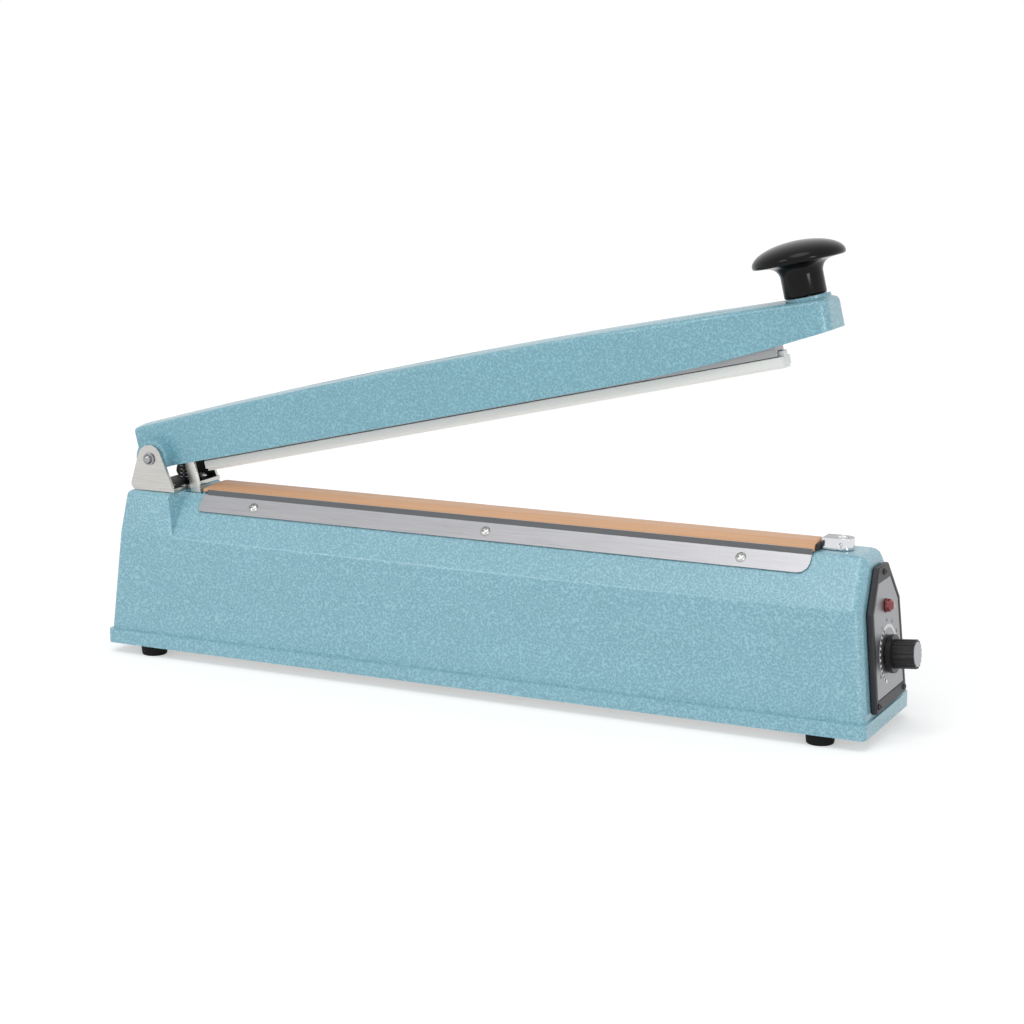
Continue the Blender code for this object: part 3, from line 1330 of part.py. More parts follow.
def make_trim_plate(side, name):
    """A plate on the slope, with an upright lip that holds the cloth's edge."""
    lip_drop, slope_top = trim_lip_foot()
    top = side * slope_top
    bottom = side * (slope_top + TRIM_DEPTH)
    slant = TRIM_START_SLANT
    corners = [(TRIM_START, top), (TRIM_START - slant, bottom), (TRIM_END, bottom), (TRIM_END, top)]
    radii = [0, TRIM_CORNER_RADIUS / 3, TRIM_CORNER_RADIUS, 0]
    if side > 0:
        corners.reverse()
        radii.reverse()
    low = TOUCH_GAP
    mesh = outline_mesh(name, rounded(corners, radii, EDGE_STEPS), "Z", low, low + TRIM_SHEET)
    plate = add_part(name, mesh, STEEL, SLOPES[side])
    near, far = sorted((side * TRIM_LIP_INNER, side * (TRIM_LIP_INNER + TRIM_SHEET)))
    lip_start = TRIM_START + TRIM_LIP_SETBACK
    lip = box_mesh(f"{name}_lip", (lip_start, near, RIDGE_HEIGHT - lip_drop), (TRIM_END, far, TRIM_LIP_TOP))
    join(plate, f"{name}_lip", lip, BASE)
    profile = pan_screw_profile(
        TRIM_SCREW_RADIUS, TRIM_SCREW_LENGTH, TRIM_SCREW_HEAD_RADIUS, TRIM_SCREW_HEAD_HEIGHT
    )
    for i, x in enumerate(trim_screw_places()):
        place = (x, side * trim_screw_drop())
        hole_name = f"{name}_hole_{i}"
        hole = round_mesh(hole_name, TRIM_SCREW_RADIUS + TOUCH_GAP, "Z", -low, low + 2 * TRIM_SHEET, place)
        cut(plate, hole_name, hole, SLOPES[side])
        turned_part(
            f"{name}_screw_{i + 1}",
            profile,
            ZINC,
            SLOPES[side],
            (*place, low + TRIM_SHEET + TOUCH_GAP),
            steps=SMALL_ROUND_STEPS,
        )


def end_post_screw_place():
    return END_POST_START + END_POST_LENGTH - END_POST_SCREW_SETBACK, 0


def make_end_post():
    half = END_POST_WIDTH / 2
    centre = END_POST_START + END_POST_LENGTH - half
    outline = [(END_POST_START, half), (END_POST_START, -half)]
    outline += arc((centre, 0), half, -math.pi / 2, math.pi / 2, 2 * CORNER_STEPS)
    low = RIDGE_HEIGHT + TOUCH_GAP
    high = low + END_POST_HEIGHT
    post = add_part("end_post", outline_mesh("end_post", outline, "Z", low, high), CHROME, BASE)
    x, y = end_post_screw_place()
    hole = round_mesh(
        "end_post_hole",
        END_POST_SCREW_RADIUS + TOUCH_GAP,
        "Z",
        low - CUT_OVERRUN,
        high + CUT_OVERRUN,
        (x, y),
    )
    cut(post, "end_post_hole", hole, BASE)
    seat = high - END_POST_SCREW_HEAD_HEIGHT
    recess = round_mesh(
        "end_post_recess",
        END_POST_SCREW_HEAD_RADIUS + TOUCH_GAP,
        "Z",
        seat - TOUCH_GAP,
        high + CUT_OVERRUN,
        (x, y),
        2 * SMALL_ROUND_STEPS,
    )
    cut(post, "end_post_recess", recess, BASE)
    middle = (low + high) / 2
    front = -half - CUT_OVERRUN
    eye_end = END_POST_EYE_DEPTH - half
    eye = round_mesh("end_post_eye", END_POST_EYE_RADIUS, "Y", front, eye_end, (centre, middle))
    cut(post, "end_post_eye", eye, BASE)
    keyway = box_mesh(
        "end_post_keyway",
        (centre - END_POST_EYE_RADIUS / 2, front, middle - END_POST_KEYWAY_DROP),
        (centre + END_POST_EYE_RADIUS / 2, eye_end, middle),
    )
    cut(post, "end_post_keyway", keyway, BASE)
    profile = pan_screw_profile(
        END_POST_SCREW_RADIUS,
        END_POST_SCREW_LENGTH,
        END_POST_SCREW_HEAD_RADIUS,
        END_POST_SCREW_HEAD_HEIGHT,
    )
    screw = turned_part(
        "end_post_screw", profile, CHROME, BASE, (x, y, seat), steps=2 * SMALL_ROUND_STEPS
    )
    reach = END_POST_SCREW_HEAD_RADIUS + CUT_OVERRUN
    width = SCREW_SLOT_WIDTH / 2
    top = seat + END_POST_SCREW_HEAD_HEIGHT
    slot = box_mesh(
        "end_post_screw_slot",
        (x - reach, y - width, top - SCREW_SLOT_DEPTH),
        (x + reach, y + width, top + CUT_OVERRUN),
    )
    cut(screw, "end_post_screw_slot", slot, BASE)


def bezel_corners():
    return [
        (-BEZEL_BOTTOM_WIDTH / 2, -BEZEL_BOTTOM),
        (BEZEL_BOTTOM_WIDTH / 2, -BEZEL_BOTTOM),
        (BEZEL_SHOULDER_WIDTH / 2, BEZEL_SHOULDER),
        (BEZEL_TOP_WIDTH / 2, BEZEL_TOP),
        (-BEZEL_TOP_WIDTH / 2, BEZEL_TOP),
        (-BEZEL_SHOULDER_WIDTH / 2, BEZEL_SHOULDER),
    ]


def pocket_corners(clearance):
    side = BEZEL_SIDE_RIM + clearance
    top = BEZEL_TOP_RIM + clearance
    bottom = BEZEL_BOTTOM_RIM + clearance
    return offset(bezel_corners(), [bottom, side, side, top, side, side])


def make_panel():
    bezel = add_part(
        "panel_bezel",
        outline_mesh("panel_bezel", bezel_corners(), "X", TOUCH_GAP, PANEL_FACE),
        CHARCOAL,
        PANEL,
    )
    bevel = bezel.modifiers.new("edge", "BEVEL")
    bevel.width = BEZEL_BEVEL
    bevel.segments = 1
    pocket_floor = PANEL_FACE - POCKET_DEPTH
    pocket = outline_mesh("panel_pocket", pocket_corners(0), "X", pocket_floor, PANEL_FACE + CUT_OVERRUN)
    cut(bezel, "panel_pocket", pocket, PANEL)
    low = pocket_floor + TOUCH_GAP
    plate = add_part(
        "panel_plate",
        outline_mesh("panel_plate", pocket_corners(TOUCH_GAP), "X", low, low + PLATE_THICKNESS),
        FACE_GREY,
        PANEL,
    )
    for part, tag in ((bezel, "bezel"), (plate, "plate")):
        hole = round_mesh(
            f"{tag}_timer_hole",
            POT_BUSH_RADIUS + TOUCH_GAP,
            "X",
            -CUT_OVERRUN,
            PANEL_FACE + CUT_OVERRUN,
            steps=ROUND_STEPS,
        )
        cut(part, f"{tag}_timer_hole", hole, PANEL)
        hole = round_mesh(
            f"{tag}_lamp_hole",
            LAMP_RADIUS + TOUCH_GAP,
            "X",
            -CUT_OVERRUN,
            PANEL_FACE + CUT_OVERRUN,
            (0, LAMP_RISE),
        )
        cut(part, f"{tag}_lamp_hole", hole, PANEL)
    make_panel_screws(bezel)
    return bezel


def make_panel_screws(bezel):
    length = PANEL_SCREW_LENGTH + PANEL_FACE
    profile = pan_screw_profile(
        PANEL_SCREW_RADIUS, length, PANEL_SCREW_HEAD_RADIUS, PANEL_SCREW_HEAD_HEIGHT
    )
    for i, place in enumerate(panel_screw_places()):
        name = f"bezel_screw_hole_{i}"
        hole = round_mesh(
            name, PANEL_SCREW_RADIUS + TOUCH_GAP, "X", -CUT_OVERRUN, PANEL_FACE + CUT_OVERRUN, place
        )
        cut(bezel, name, hole, PANEL)
        turned_part(
            f"panel_screw_{i + 1}",
            profile,
            ZINC,
            PANEL,
            (PANEL_FACE + TOUCH_GAP, *place),
            "X",
            SMALL_ROUND_STEPS,
        )


def make_lamp():
    front = PANEL_FACE - POCKET_DEPTH + TOUCH_GAP + PLATE_THICKNESS
    holder = round_mesh(
        "lamp_holder", LAMP_RADIUS, "X", front - LAMP_LENGTH, front, (0, LAMP_RISE), ROUND_STEPS
    )
    add_part("lamp_holder", holder, BLACK_PLASTIC, PANEL)
    lens_shares = ((0.45, 0.96), (0.9, 0.6), (1, 0))
    edge = [(LENS_RADIUS * out, LENS_HEIGHT * up) for out, up in lens_shares]
    profile = [(0, LENS_HEIGHT), *edge, (0, 0)]
    place = (front + TOUCH_GAP, 0, LAMP_RISE)
    lens = turned_part("lamp_lens", profile, LENS_RED, PANEL, place, "X", LENS_FACETS)
    lens.modifiers["sweep"].use_smooth_shade = False


def make_timer():
    """The potentiometer behind the wall, its shaft, the knob on it and the board behind."""
    back = -BODY_WALL - TOUCH_GAP
    rear = back - POT_DEPTH
    pot = add_part(
        "potentiometer",
        round_mesh("potentiometer", POT_RADIUS, "X", rear, back, steps=ROUND_STEPS),
        STEEL,
        PANEL,
    )
    bush_end = PANEL_FACE - TOUCH_GAP
    bush = round_mesh("pot_bush", POT_BUSH_RADIUS, "X", rear + POT_DEPTH / 2, bush_end, steps=ROUND_STEPS)
    join(pot, "pot_bush", bush, PANEL)
    bore = round_mesh(
        "pot_bore", SHAFT_RADIUS + TOUCH_GAP, "X", rear + TOUCH_GAP, bush_end + CUT_OVERRUN, steps=ROUND_STEPS
    )
    cut(pot, "pot_bore", bore, PANEL)
    shaft_end = TIMER_KNOB_START + TIMER_BORE_DEPTH - TOUCH_GAP
    shaft = round_mesh("timer_shaft", SHAFT_RADIUS, "X", back - SHAFT_TAIL, shaft_end, steps=ROUND_STEPS)
    add_part("timer_shaft", shaft, ALUMINIUM, PANEL)
    make_timer_knob()
    board_front = rear - TOUCH_GAP
    half = BEZEL_BOTTOM_WIDTH / 2 - BOARD_SIDE_INSET
    board = box_mesh(
        "timer_board", (board_front - BOARD_THICKNESS, -half, -BOARD_BOTTOM), (board_front, half, BOARD_TOP)
    )
    add_part("timer_board", board, CIRCUIT_BOARD, PANEL)
    relay_front = board_front - BOARD_THICKNESS - TOUCH_GAP
    relay = box_mesh(
        "timer_relay",
        (relay_front - RELAY_DEPTH, -RELAY_WIDTH / 2, -RELAY_HEIGHT / 2),
        (relay_front, RELAY_WIDTH / 2, RELAY_HEIGHT / 2),
    )
    add_part("timer_relay", relay, BLACK_PLASTIC, PANEL)


def make_timer_knob():
    skirt_end = TIMER_KNOB_START + TIMER_SKIRT_LENGTH
    drum_start = TIMER_KNOB_START + TIMER_SKIRT_LENGTH / 2
    drum = outline_mesh("timer_knob", fluted_outline(), "X", drum_start, TIMER_KNOB_END)
    knob = add_part("timer_knob", drum, BLACK_PLASTIC, PANEL)
    skirt = round_mesh(
        "knob_skirt", TIMER_SKIRT_RADIUS, "X", TIMER_KNOB_START, skirt_end, steps=ROUND_STEPS
    )
    join(knob, "knob_skirt", skirt, PANEL)
    recess_floor = CAP_FACE - TIMER_CAP_THICKNESS - TOUCH_GAP
    recess = round_mesh(
        "cap_recess",
        TIMER_CAP_RADIUS + TOUCH_GAP,
        "X",
        recess_floor,
        TIMER_KNOB_END + CUT_OVERRUN,
        steps=ROUND_STEPS,
    )
    cut(knob, "cap_recess", recess, PANEL)
    bore = round_mesh(
        "knob_bore",
        SHAFT_RADIUS + TOUCH_GAP,
        "X",
        TIMER_KNOB_START - CUT_OVERRUN,
        TIMER_KNOB_START + TIMER_BORE_DEPTH,
        steps=ROUND_STEPS,
    )
    cut(knob, "knob_bore", bore, PANEL)
    cap_back = CAP_FACE - TIMER_CAP_THICKNESS
    cap = round_mesh("knob_cap", TIMER_CAP_RADIUS, "X", cap_back, CAP_FACE, steps=ROUND_STEPS)
    add_part("knob_cap", cap, ALUMINIUM, PANEL)


def fluted_outline():
    """The knob's fluted drum seen along its axis."""
    outline = []
    for i in range(4 * TIMER_FLUTES):
        angle = 2 * math.pi * i / (4 * TIMER_FLUTES)
        reach = TIMER_KNOB_RADIUS - (TIMER_FLUTE_DEPTH if i % 4 > 1 else 0)
        outline.append((reach * math.cos(angle), reach * math.sin(angle)))
    return outline


def make_transformer():
    low = COVER_TOP + TOUCH_GAP
    start = CORE_CENTRE - CORE_LENGTH / 2
    half = CORE_STACK / 2
    core = add_part(
        "transformer_core",
        box_mesh("transformer_core", (start, -half, low), (start + CORE_LENGTH, half, low + CORE_HEIGHT)),
        LAMINATIONS,
        BASE,
    )
    window_low = low + CORE_LEG
    window_high = low + CORE_HEIGHT - CORE_LEG
    reach = half + CUT_OVERRUN
    for i, window_start in enumerate((start + CORE_LEG, CORE_CENTRE + CORE_LEG)):
        name = f"core_window_{i}"
        window_end = window_start + CORE_LEG
        window = box_mesh(name, (window_start, -reach, window_low), (window_end, reach, window_high))
        cut(core, name, window, BASE)
    outer_x = 2 * CORE_LEG - TOUCH_GAP
    outer_y = WINDING_WIDTH / 2
    wind_low = window_low + TOUCH_GAP
    wind_high = window_high - TOUCH_GAP
    winding = add_part(
        "transformer_winding",
        box_mesh(
            "transformer_winding",
            (CORE_CENTRE - outer_x, -outer_y, wind_low),
            (CORE_CENTRE + outer_x, outer_y, wind_high),
        ),
        COPPER,
        BASE,
    )
    inner_x = CORE_LEG + TOUCH_GAP
    inner_y = half + TOUCH_GAP
    bore = box_mesh(
        "winding_bore",
        (CORE_CENTRE - inner_x, -inner_y, wind_low - CUT_OVERRUN),
        (CORE_CENTRE + inner_x, inner_y, wind_high + CUT_OVERRUN),
    )
    cut(winding, "winding_bore", bore, BASE)


def make_switch():
    """The switch under the slot, its button, and the plate that hangs it from the roof."""
    blade_tip = PIN_HEIGHT - BLADE_DROP
    button_x = PIN_X + BLADE_FORWARD
    button_y = -(ARM_WIDTH / 2 - ARM_WALL - TOUCH_GAP - BLADE_THICKNESS / 2)
    top = blade_tip - TOUCH_GAP - SWITCH_BUTTON_RISE
    start = button_x - SWITCH_LENGTH / 2 + SWITCH_BUTTON_OFFSET
    low = (start, button_y - SWITCH_WIDTH / 2, top - SWITCH_HEIGHT)
    high = (start + SWITCH_LENGTH, button_y + SWITCH_WIDTH / 2, top)
    switch = add_part("micro_switch", box_mesh("micro_switch", low, high), BLACK_PLASTIC, BASE)
    well = round_mesh(
        "button_well",
        SWITCH_BUTTON_RADIUS + TOUCH_GAP,
        "Z",
        top - SWITCH_BUTTON_DEPTH - SWITCH_BUTTON_RISE,
        top + CUT_OVERRUN,
        (button_x, button_y),
    )
    cut(switch, "button_well", well, BASE)
    button = round_mesh(
        "switch_button",
        SWITCH_BUTTON_RADIUS,
        "Z",
        top - SWITCH_BUTTON_DEPTH,
        top + SWITCH_BUTTON_RISE,
        (button_x, button_y),
    )
    add_part("switch_button", button, SILICONE, BASE)
    plate_y = high[1] + TOUCH_GAP
    roof = RIDGE_HEIGHT - BODY_WALL - TOUCH_GAP
    end = start + SWITCH_PLATE_LENGTH
    bracket = add_part(
        "switch_plate",
        box_mesh("switch_plate", (start, plate_y, low[2]), (end, plate_y + SWITCH_PLATE_THICKNESS, roof)),
        ZINC,
        BASE,
    )
    foot = box_mesh(
        "switch_plate_foot",
        (start, plate_y, roof - SWITCH_PLATE_THICKNESS),
        (end, plate_y + SWITCH_PLATE_FOOT, roof),
    )
    join(bracket, "switch_plate_foot", foot, BASE)


def make_cord_inlet():
    """The rubber bush in the hinge end's wall that a mains cord would pass through."""
    groove = INLET_RADIUS - TOUCH_GAP
    inside = BODY_WALL + TOUCH_GAP
    outside = -TOUCH_GAP
    profile = [
        (INLET_BORE_RADIUS, inside + INLET_FLANGE_THICKNESS),
        (INLET_FLANGE_RADIUS, inside + INLET_FLANGE_THICKNESS),
        (INLET_FLANGE_RADIUS, inside),
        (groove, inside),
        (groove, outside),
        (INLET_FLANGE_RADIUS, outside),
        (INLET_FLANGE_RADIUS, outside - INLET_FLANGE_THICKNESS),
        (INLET_BORE_RADIUS, outside - INLET_FLANGE_THICKNESS),
        (INLET_BORE_RADIUS, inside + INLET_FLANGE_THICKNESS),
    ]
    turned_part("cord_inlet", profile, RUBBER, INLET, (0, 0, 0), "X")


def make_impulse_sealer():
    make_base_casting()
    make_bottom_cover()
    make_feet()
    make_cover_screws()
    make_hinge_bracket()
    make_pin()
    make_bracket_screws()
    make_arm_casting()
    make_pressure_bar()
    make_silicone_strip()
    make_bar_posts()
    make_arm_knob()
    make_switch_blade()
    make_return_spring()
    make_heated_strip()
    make_trim_plate(-1, "front_trim")
    make_trim_plate(1, "rear_trim")
    make_end_post()
    make_panel()
    make_lamp()
    make_timer()
    make_transformer()
    make_switch()
    make_cord_inlet()


make_impulse_sealer()
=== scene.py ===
import math

import bmesh
import bpy
from mathutils import Matrix, Vector
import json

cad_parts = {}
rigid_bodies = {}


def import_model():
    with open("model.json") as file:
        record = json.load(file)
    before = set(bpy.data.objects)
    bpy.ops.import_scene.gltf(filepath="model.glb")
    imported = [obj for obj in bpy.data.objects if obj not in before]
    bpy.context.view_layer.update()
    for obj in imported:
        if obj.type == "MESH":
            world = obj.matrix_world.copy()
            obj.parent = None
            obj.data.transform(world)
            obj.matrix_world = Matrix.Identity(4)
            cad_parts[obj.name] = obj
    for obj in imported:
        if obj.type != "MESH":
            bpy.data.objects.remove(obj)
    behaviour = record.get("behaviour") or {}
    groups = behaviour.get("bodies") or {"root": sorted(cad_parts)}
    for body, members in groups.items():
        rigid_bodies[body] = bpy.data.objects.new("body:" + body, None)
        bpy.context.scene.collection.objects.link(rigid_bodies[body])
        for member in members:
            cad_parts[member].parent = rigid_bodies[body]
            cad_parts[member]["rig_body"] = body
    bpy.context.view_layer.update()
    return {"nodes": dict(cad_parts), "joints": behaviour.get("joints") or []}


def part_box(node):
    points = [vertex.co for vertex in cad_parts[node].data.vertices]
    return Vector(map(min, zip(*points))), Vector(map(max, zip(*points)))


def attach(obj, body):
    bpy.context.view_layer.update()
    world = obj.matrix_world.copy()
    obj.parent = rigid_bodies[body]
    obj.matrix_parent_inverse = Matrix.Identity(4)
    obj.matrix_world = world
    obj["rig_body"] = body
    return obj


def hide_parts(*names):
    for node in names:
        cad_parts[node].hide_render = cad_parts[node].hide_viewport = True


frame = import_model()
mm = 0.001
print("frame loaded")

joints = {joint["name"]: joint for joint in frame["joints"]}
hingePoint = Vector(joints["arm_hinge"]["pos_m"])
restLift = math.radians(-joints["arm_hinge"]["range_deg"][0])  # the arm rests this far above shut
armUp = Vector((-math.sin(restLift), 0, math.cos(restLift)))
armAlong = Vector((math.cos(restLift), 0, math.sin(restLift)))
dialPoint = Vector(joints["timer_turn"]["pos_m"])
dialOut = Vector(joints["timer_turn"]["axis"]).normalized()
dialUp = dialOut.cross(Vector((0, 1, 0)))

# Colours and shader nodes


def linearColour(code):
    parts = [int(code[i : i + 2], 16) / 255 for i in (0, 2, 4)]
    return (*[p / 12.92 if p <= 0.04045 else ((p + 0.055) / 1.055) ** 2.4 for p in parts], 1)


def addNode(tree, kind, inputs=None, **settings):
    node = tree.nodes.new(kind)
    for name, value in settings.items():
        setattr(node, name, value)
    for name, value in (inputs or {}).items():
        if isinstance(value, bpy.types.NodeSocket):
            tree.links.new(value, node.inputs[name])
        else:
            node.inputs[name].default_value = value
    return node


def newSurface(name, colour, roughness, metallic=0.0, **sockets):
    material = bpy.data.materials.new(name)
    material.use_nodes = True
    tree = material.node_tree
    shader = tree.nodes["Principled BSDF"]
    shader.inputs["Base Color"].default_value = linearColour(colour)
    shader.inputs["Roughness"].default_value = roughness
    shader.inputs["Metallic"].default_value = metallic
    for socket, value in sockets.items():
        shader.inputs[socket].default_value = value
    material.diffuse_color = linearColour(colour)
    return material, tree, shader


def objectPlace(tree, scale=(1, 1, 1), offset=(0, 0, 0), turn=(0, 0, 0)):
    place = addNode(tree, "ShaderNodeTexCoord").outputs["Object"]
    mapping = addNode(tree, "ShaderNodeMapping", {"Vector": place})
    mapping.inputs["Location"].default_value = offset
    mapping.inputs["Rotation"].default_value = turn
    mapping.inputs["Scale"].default_value = scale
    return mapping.outputs["Vector"]


def mixedColour(tree, share, low, high):
    ramp = addNode(tree, "ShaderNodeValToRGB", {"Fac": share})
    ramp.color_ramp.elements[0].color = linearColour(low)
    ramp.color_ramp.elements[1].color = linearColour(high)
    return ramp


def addBump(tree, shader, height, distance, strength=1.0):
    bump = addNode(tree, "ShaderNodeBump", {"Height": height, "Distance": distance, "Strength": strength})
    tree.links.new(bump.outputs["Normal"], shader.inputs["Normal"])
    return bump


def spanned(tree, value, low, high):
    span = addNode(tree, "ShaderNodeMapRange", {"Value": value, "To Min": low, "To Max": high})
    return span.outputs["Result"]


def shadedColour(tree, colour, shade):
    toned = addNode(tree, "ShaderNodeVectorMath", {0: colour, "Scale": shade}, operation="SCALE")
    return toned.outputs["Vector"]


def addNoise(tree, place, sizeMm, detail):
    inputs = {"Vector": place, "Scale": 1 / (sizeMm * mm), "Detail": detail}
    return addNode(tree, "ShaderNodeTexNoise", inputs)


# Hammered enamel, sprayed and stoved: the paint draws into small pits with pale veins between them.
# The real cells are about a millimetre wide, drawn at 1.25 so that they show.
hammered = {
    "vein": "92C0CC",
    "ground": "7EABBA",
    "pit": "6F9EAD",
    "cellMm": 1.25,
    "pullMm": 0.8,
    "pitMm": 0.26,
    "roughness": 0.28,
    "coatWeight": 0.3,
    "coatRoughness": 0.18,
    "rounding": 0.55,
    "pitEnd": 0.12,
    "groundPlace": 0.42,
    "veinStart": 0.78,
    "mottleMm": 38,
    "mottleLow": 0.96,
    "mottleHigh": 1.04,
    "bumpShare": 0.75,
    "driftMm": 3,
}
armShadeTone = (0.86, 0.93, 0.94)  # painted shade: the arm's enamel is a darkened copy of the base's, standing in for the lesser light the arm gets


def makeHammeredEnamel(name, tone):
    material, tree, shader = newSurface(name, hammered["ground"], hammered["roughness"])
    shader.inputs["Coat Weight"].default_value = hammered["coatWeight"]
    shader.inputs["Coat Roughness"].default_value = hammered["coatRoughness"]
    place = objectPlace(tree)
    drift = addNoise(tree, place, hammered["driftMm"], 2.0)
    pull = (hammered["pullMm"] * mm,) * 3
    pulled = addNode(tree, "ShaderNodeVectorMath", {0: drift.outputs["Color"], 1: pull}, operation="MULTIPLY")
    warped = addNode(tree, "ShaderNodeVectorMath", {0: place, 1: pulled.outputs["Vector"]}, operation="ADD")
    cellInputs = {
        "Vector": warped.outputs["Vector"],
        "Scale": 1 / (hammered["cellMm"] * mm),
        "Smoothness": hammered["rounding"],
    }
    cells = addNode(tree, "ShaderNodeTexVoronoi", cellInputs, feature="SMOOTH_F1")
    tint = mixedColour(tree, cells.outputs["Distance"], hammered["pit"], hammered["vein"])
    tint.color_ramp.elements[0].position = hammered["pitEnd"]
    tint.color_ramp.elements[1].position = hammered["veinStart"]
    middle = tint.color_ramp.elements.new(hammered["groundPlace"])
    middle.color = linearColour(hammered["ground"])
    mottle = addNoise(tree, place, hammered["mottleMm"], 3.0)
    shade = spanned(tree, mottle.outputs["Fac"], hammered["mottleLow"], hammered["mottleHigh"])
    toned = shadedColour(tree, tint.outputs["Color"], shade)
    # the tone darkens the arm's copy as painted shade; for the base it is one
    coat = addNode(tree, "ShaderNodeVectorMath", {0: toned, 1: tone}, operation="MULTIPLY")
    tree.links.new(coat.outputs["Vector"], shader.inputs["Base Color"])
    addBump(tree, shader, cells.outputs["Distance"], hammered["pitMm"] * mm, hammered["bumpShare"])
    return material


# Rolled and brushed metals: fine lines run along X. Real lines are finer than 0.1 mm, drawn at 0.5 mm
brushed = {
    "rougher": 0.1,
    "smoother": 0.08,
    "toneLow": 0.8,
    "toneHigh": 1.2,
    "depthMm": 0.02,
    "bumpShare": 0.35,
}


def makeBrushedSteel(name, colour, roughness, lineMm=0.5, grain=(60, 1, 1)):
    material, tree, shader = newSurface(name, colour, roughness, 1.0)
    stretch = tuple(1 / (lineMm * mm * g) for g in grain)
    place = objectPlace(tree, stretch)
    noise = {"Vector": place, "Scale": 1.0, "Detail": 3.0, "Roughness": 0.6}
    lines = addNode(tree, "ShaderNodeTexNoise", noise).outputs["Fac"]
    gloss = spanned(tree, lines, roughness - brushed["smoother"], roughness + brushed["rougher"])
    tree.links.new(gloss, shader.inputs["Roughness"])
    shade = spanned(tree, lines, brushed["toneLow"], brushed["toneHigh"])
    tree.links.new(shadedColour(tree, linearColour(colour)[:3], shade), shader.inputs["Base Color"])
    addBump(tree, shader, lines, brushed["depthMm"] * mm, brushed["bumpShare"])
    return material


# Zinc or chrome plate: bright, with a faint cloudiness
def makePlate(name, colour, roughness, cloudMm=6):
    material, tree, shader = newSurface(name, colour, roughness, 1.0)
    cloud = addNoise(tree, objectPlace(tree), cloudMm, 4.0).outputs["Fac"]
    tree.links.new(spanned(tree, cloud, roughness * 0.7, roughness * 1.4), shader.inputs["Roughness"])
    return material


# Moulded plastic or rubber: a fine spark-eroded grain
def makeMoulded(name, colour, roughness, grainMm=0.8, grainDepthMm=0.02, **sockets):
    material, tree, shader = newSurface(name, colour, roughness, **sockets)
    grain = addNoise(tree, objectPlace(tree), grainMm, 3.0).outputs["Fac"]
    tree.links.new(spanned(tree, grain, roughness * 0.85, roughness * 1.2), shader.inputs["Roughness"])
    addBump(tree, shader, grain, grainDepthMm * mm, 0.5)
    return material


# Coated glass cloth, woven and dipped: tan, nearly smooth, with long streaks left by the coating.
# Its threads are 0.5 mm apart, drawn at 1.3 mm so that the weave shows faintly.
cloth = {
    "thread": "D8A77C",
    "gap": "D4A278",
    "threadMm": 1.3,
    "depthMm": 0.012,
    "roughness": 0.48,
    "sheen": 0.15,
    "weaveEnd": 0.45,
    "streakLongMm": 90,
    "streakWideMm": 1.6,
    "streakDark": 0.84,
    "streakPale": 1.12,
    "bumpShare": 0.6,
}


def makeGlassCloth():
    material, tree, shader = newSurface("coatedGlassCloth", cloth["thread"], cloth["roughness"])
    shader.inputs["Sheen Weight"].default_value = cloth["sheen"]
    place = addNode(tree, "ShaderNodeUVMap", uv_map="lay").outputs["UV"]
    waves = []
    for direction in ("X", "Y"):
        wave = addNode(
            tree,
            "ShaderNodeTexWave",
            {"Vector": place, "Scale": 0.5 / (cloth["threadMm"] * mm) / math.pi, "Distortion": 0.0},
            bands_direction=direction,
        )
        waves.append(wave.outputs["Fac"])
    woven = addNode(tree, "ShaderNodeMath", {0: waves[0], 1: waves[1]}, operation="MULTIPLY")
    tint = mixedColour(tree, woven.outputs["Value"], cloth["gap"], cloth["thread"])
    tint.color_ramp.elements[1].position = cloth["weaveEnd"]
    wide = 1 / (cloth["streakWideMm"] * mm)
    place = objectPlace(tree, (1 / (cloth["streakLongMm"] * mm), wide, wide))
    streaks = addNode(tree, "ShaderNodeTexNoise", {"Vector": place, "Scale": 1.0, "Detail": 4.0})
    shade = spanned(tree, streaks.outputs["Fac"], cloth["streakDark"], cloth["streakPale"])
    tree.links.new(shadedColour(tree, tint.outputs["Color"], shade), shader.inputs["Base Color"])
    addBump(tree, shader, woven.outputs["Value"], cloth["depthMm"] * mm, cloth["bumpShare"])
    return material


# Stacked laminations and wound wire: straight lines at a real pitch
def makeLined(name, colour, dark, roughness, metallic, pitchMm, direction):
    material, tree, shader = newSurface(name, colour, roughness, metallic)
    wave = addNode(
        tree,
        "ShaderNodeTexWave",
        {"Vector": objectPlace(tree), "Scale": 0.5 / (pitchMm * mm) / math.pi},
        bands_direction=direction,
    )
    tint = mixedColour(tree, wave.outputs["Fac"], dark, colour)
    tree.links.new(tint.outputs["Color"], shader.inputs["Base Color"])
    addBump(tree, shader, wave.outputs["Fac"], 0.1 * mm, 0.6)
    return material


# Turned aluminium: rings left by the tool round the timer's axis, drawn 0.5 mm apart so that they show
def makeTurnedAluminium(ringMm=0.5):
    material, tree, shader = newSurface("turnedAluminium", "A9AAAE", 0.36, 1.0)
    tilt = math.atan2(dialOut.z, dialOut.x)
    place = objectPlace(tree)
    centred = addNode(tree, "ShaderNodeVectorMath", {0: place, 1: tuple(-dialPoint)}, operation="ADD")
    turn = {"Vector": centred.outputs["Vector"], "Angle": tilt}
    turned = addNode(tree, "ShaderNodeVectorRotate", turn, rotation_type="Y_AXIS")
    wave = {"Vector": turned.outputs["Vector"], "Scale": 0.5 / (ringMm * mm) / math.pi}
    rings = addNode(tree, "ShaderNodeTexWave", wave, wave_type="RINGS", rings_direction="X")
    addBump(tree, shader, rings.outputs["Fac"], 0.03 * mm, 0.5)
    return material


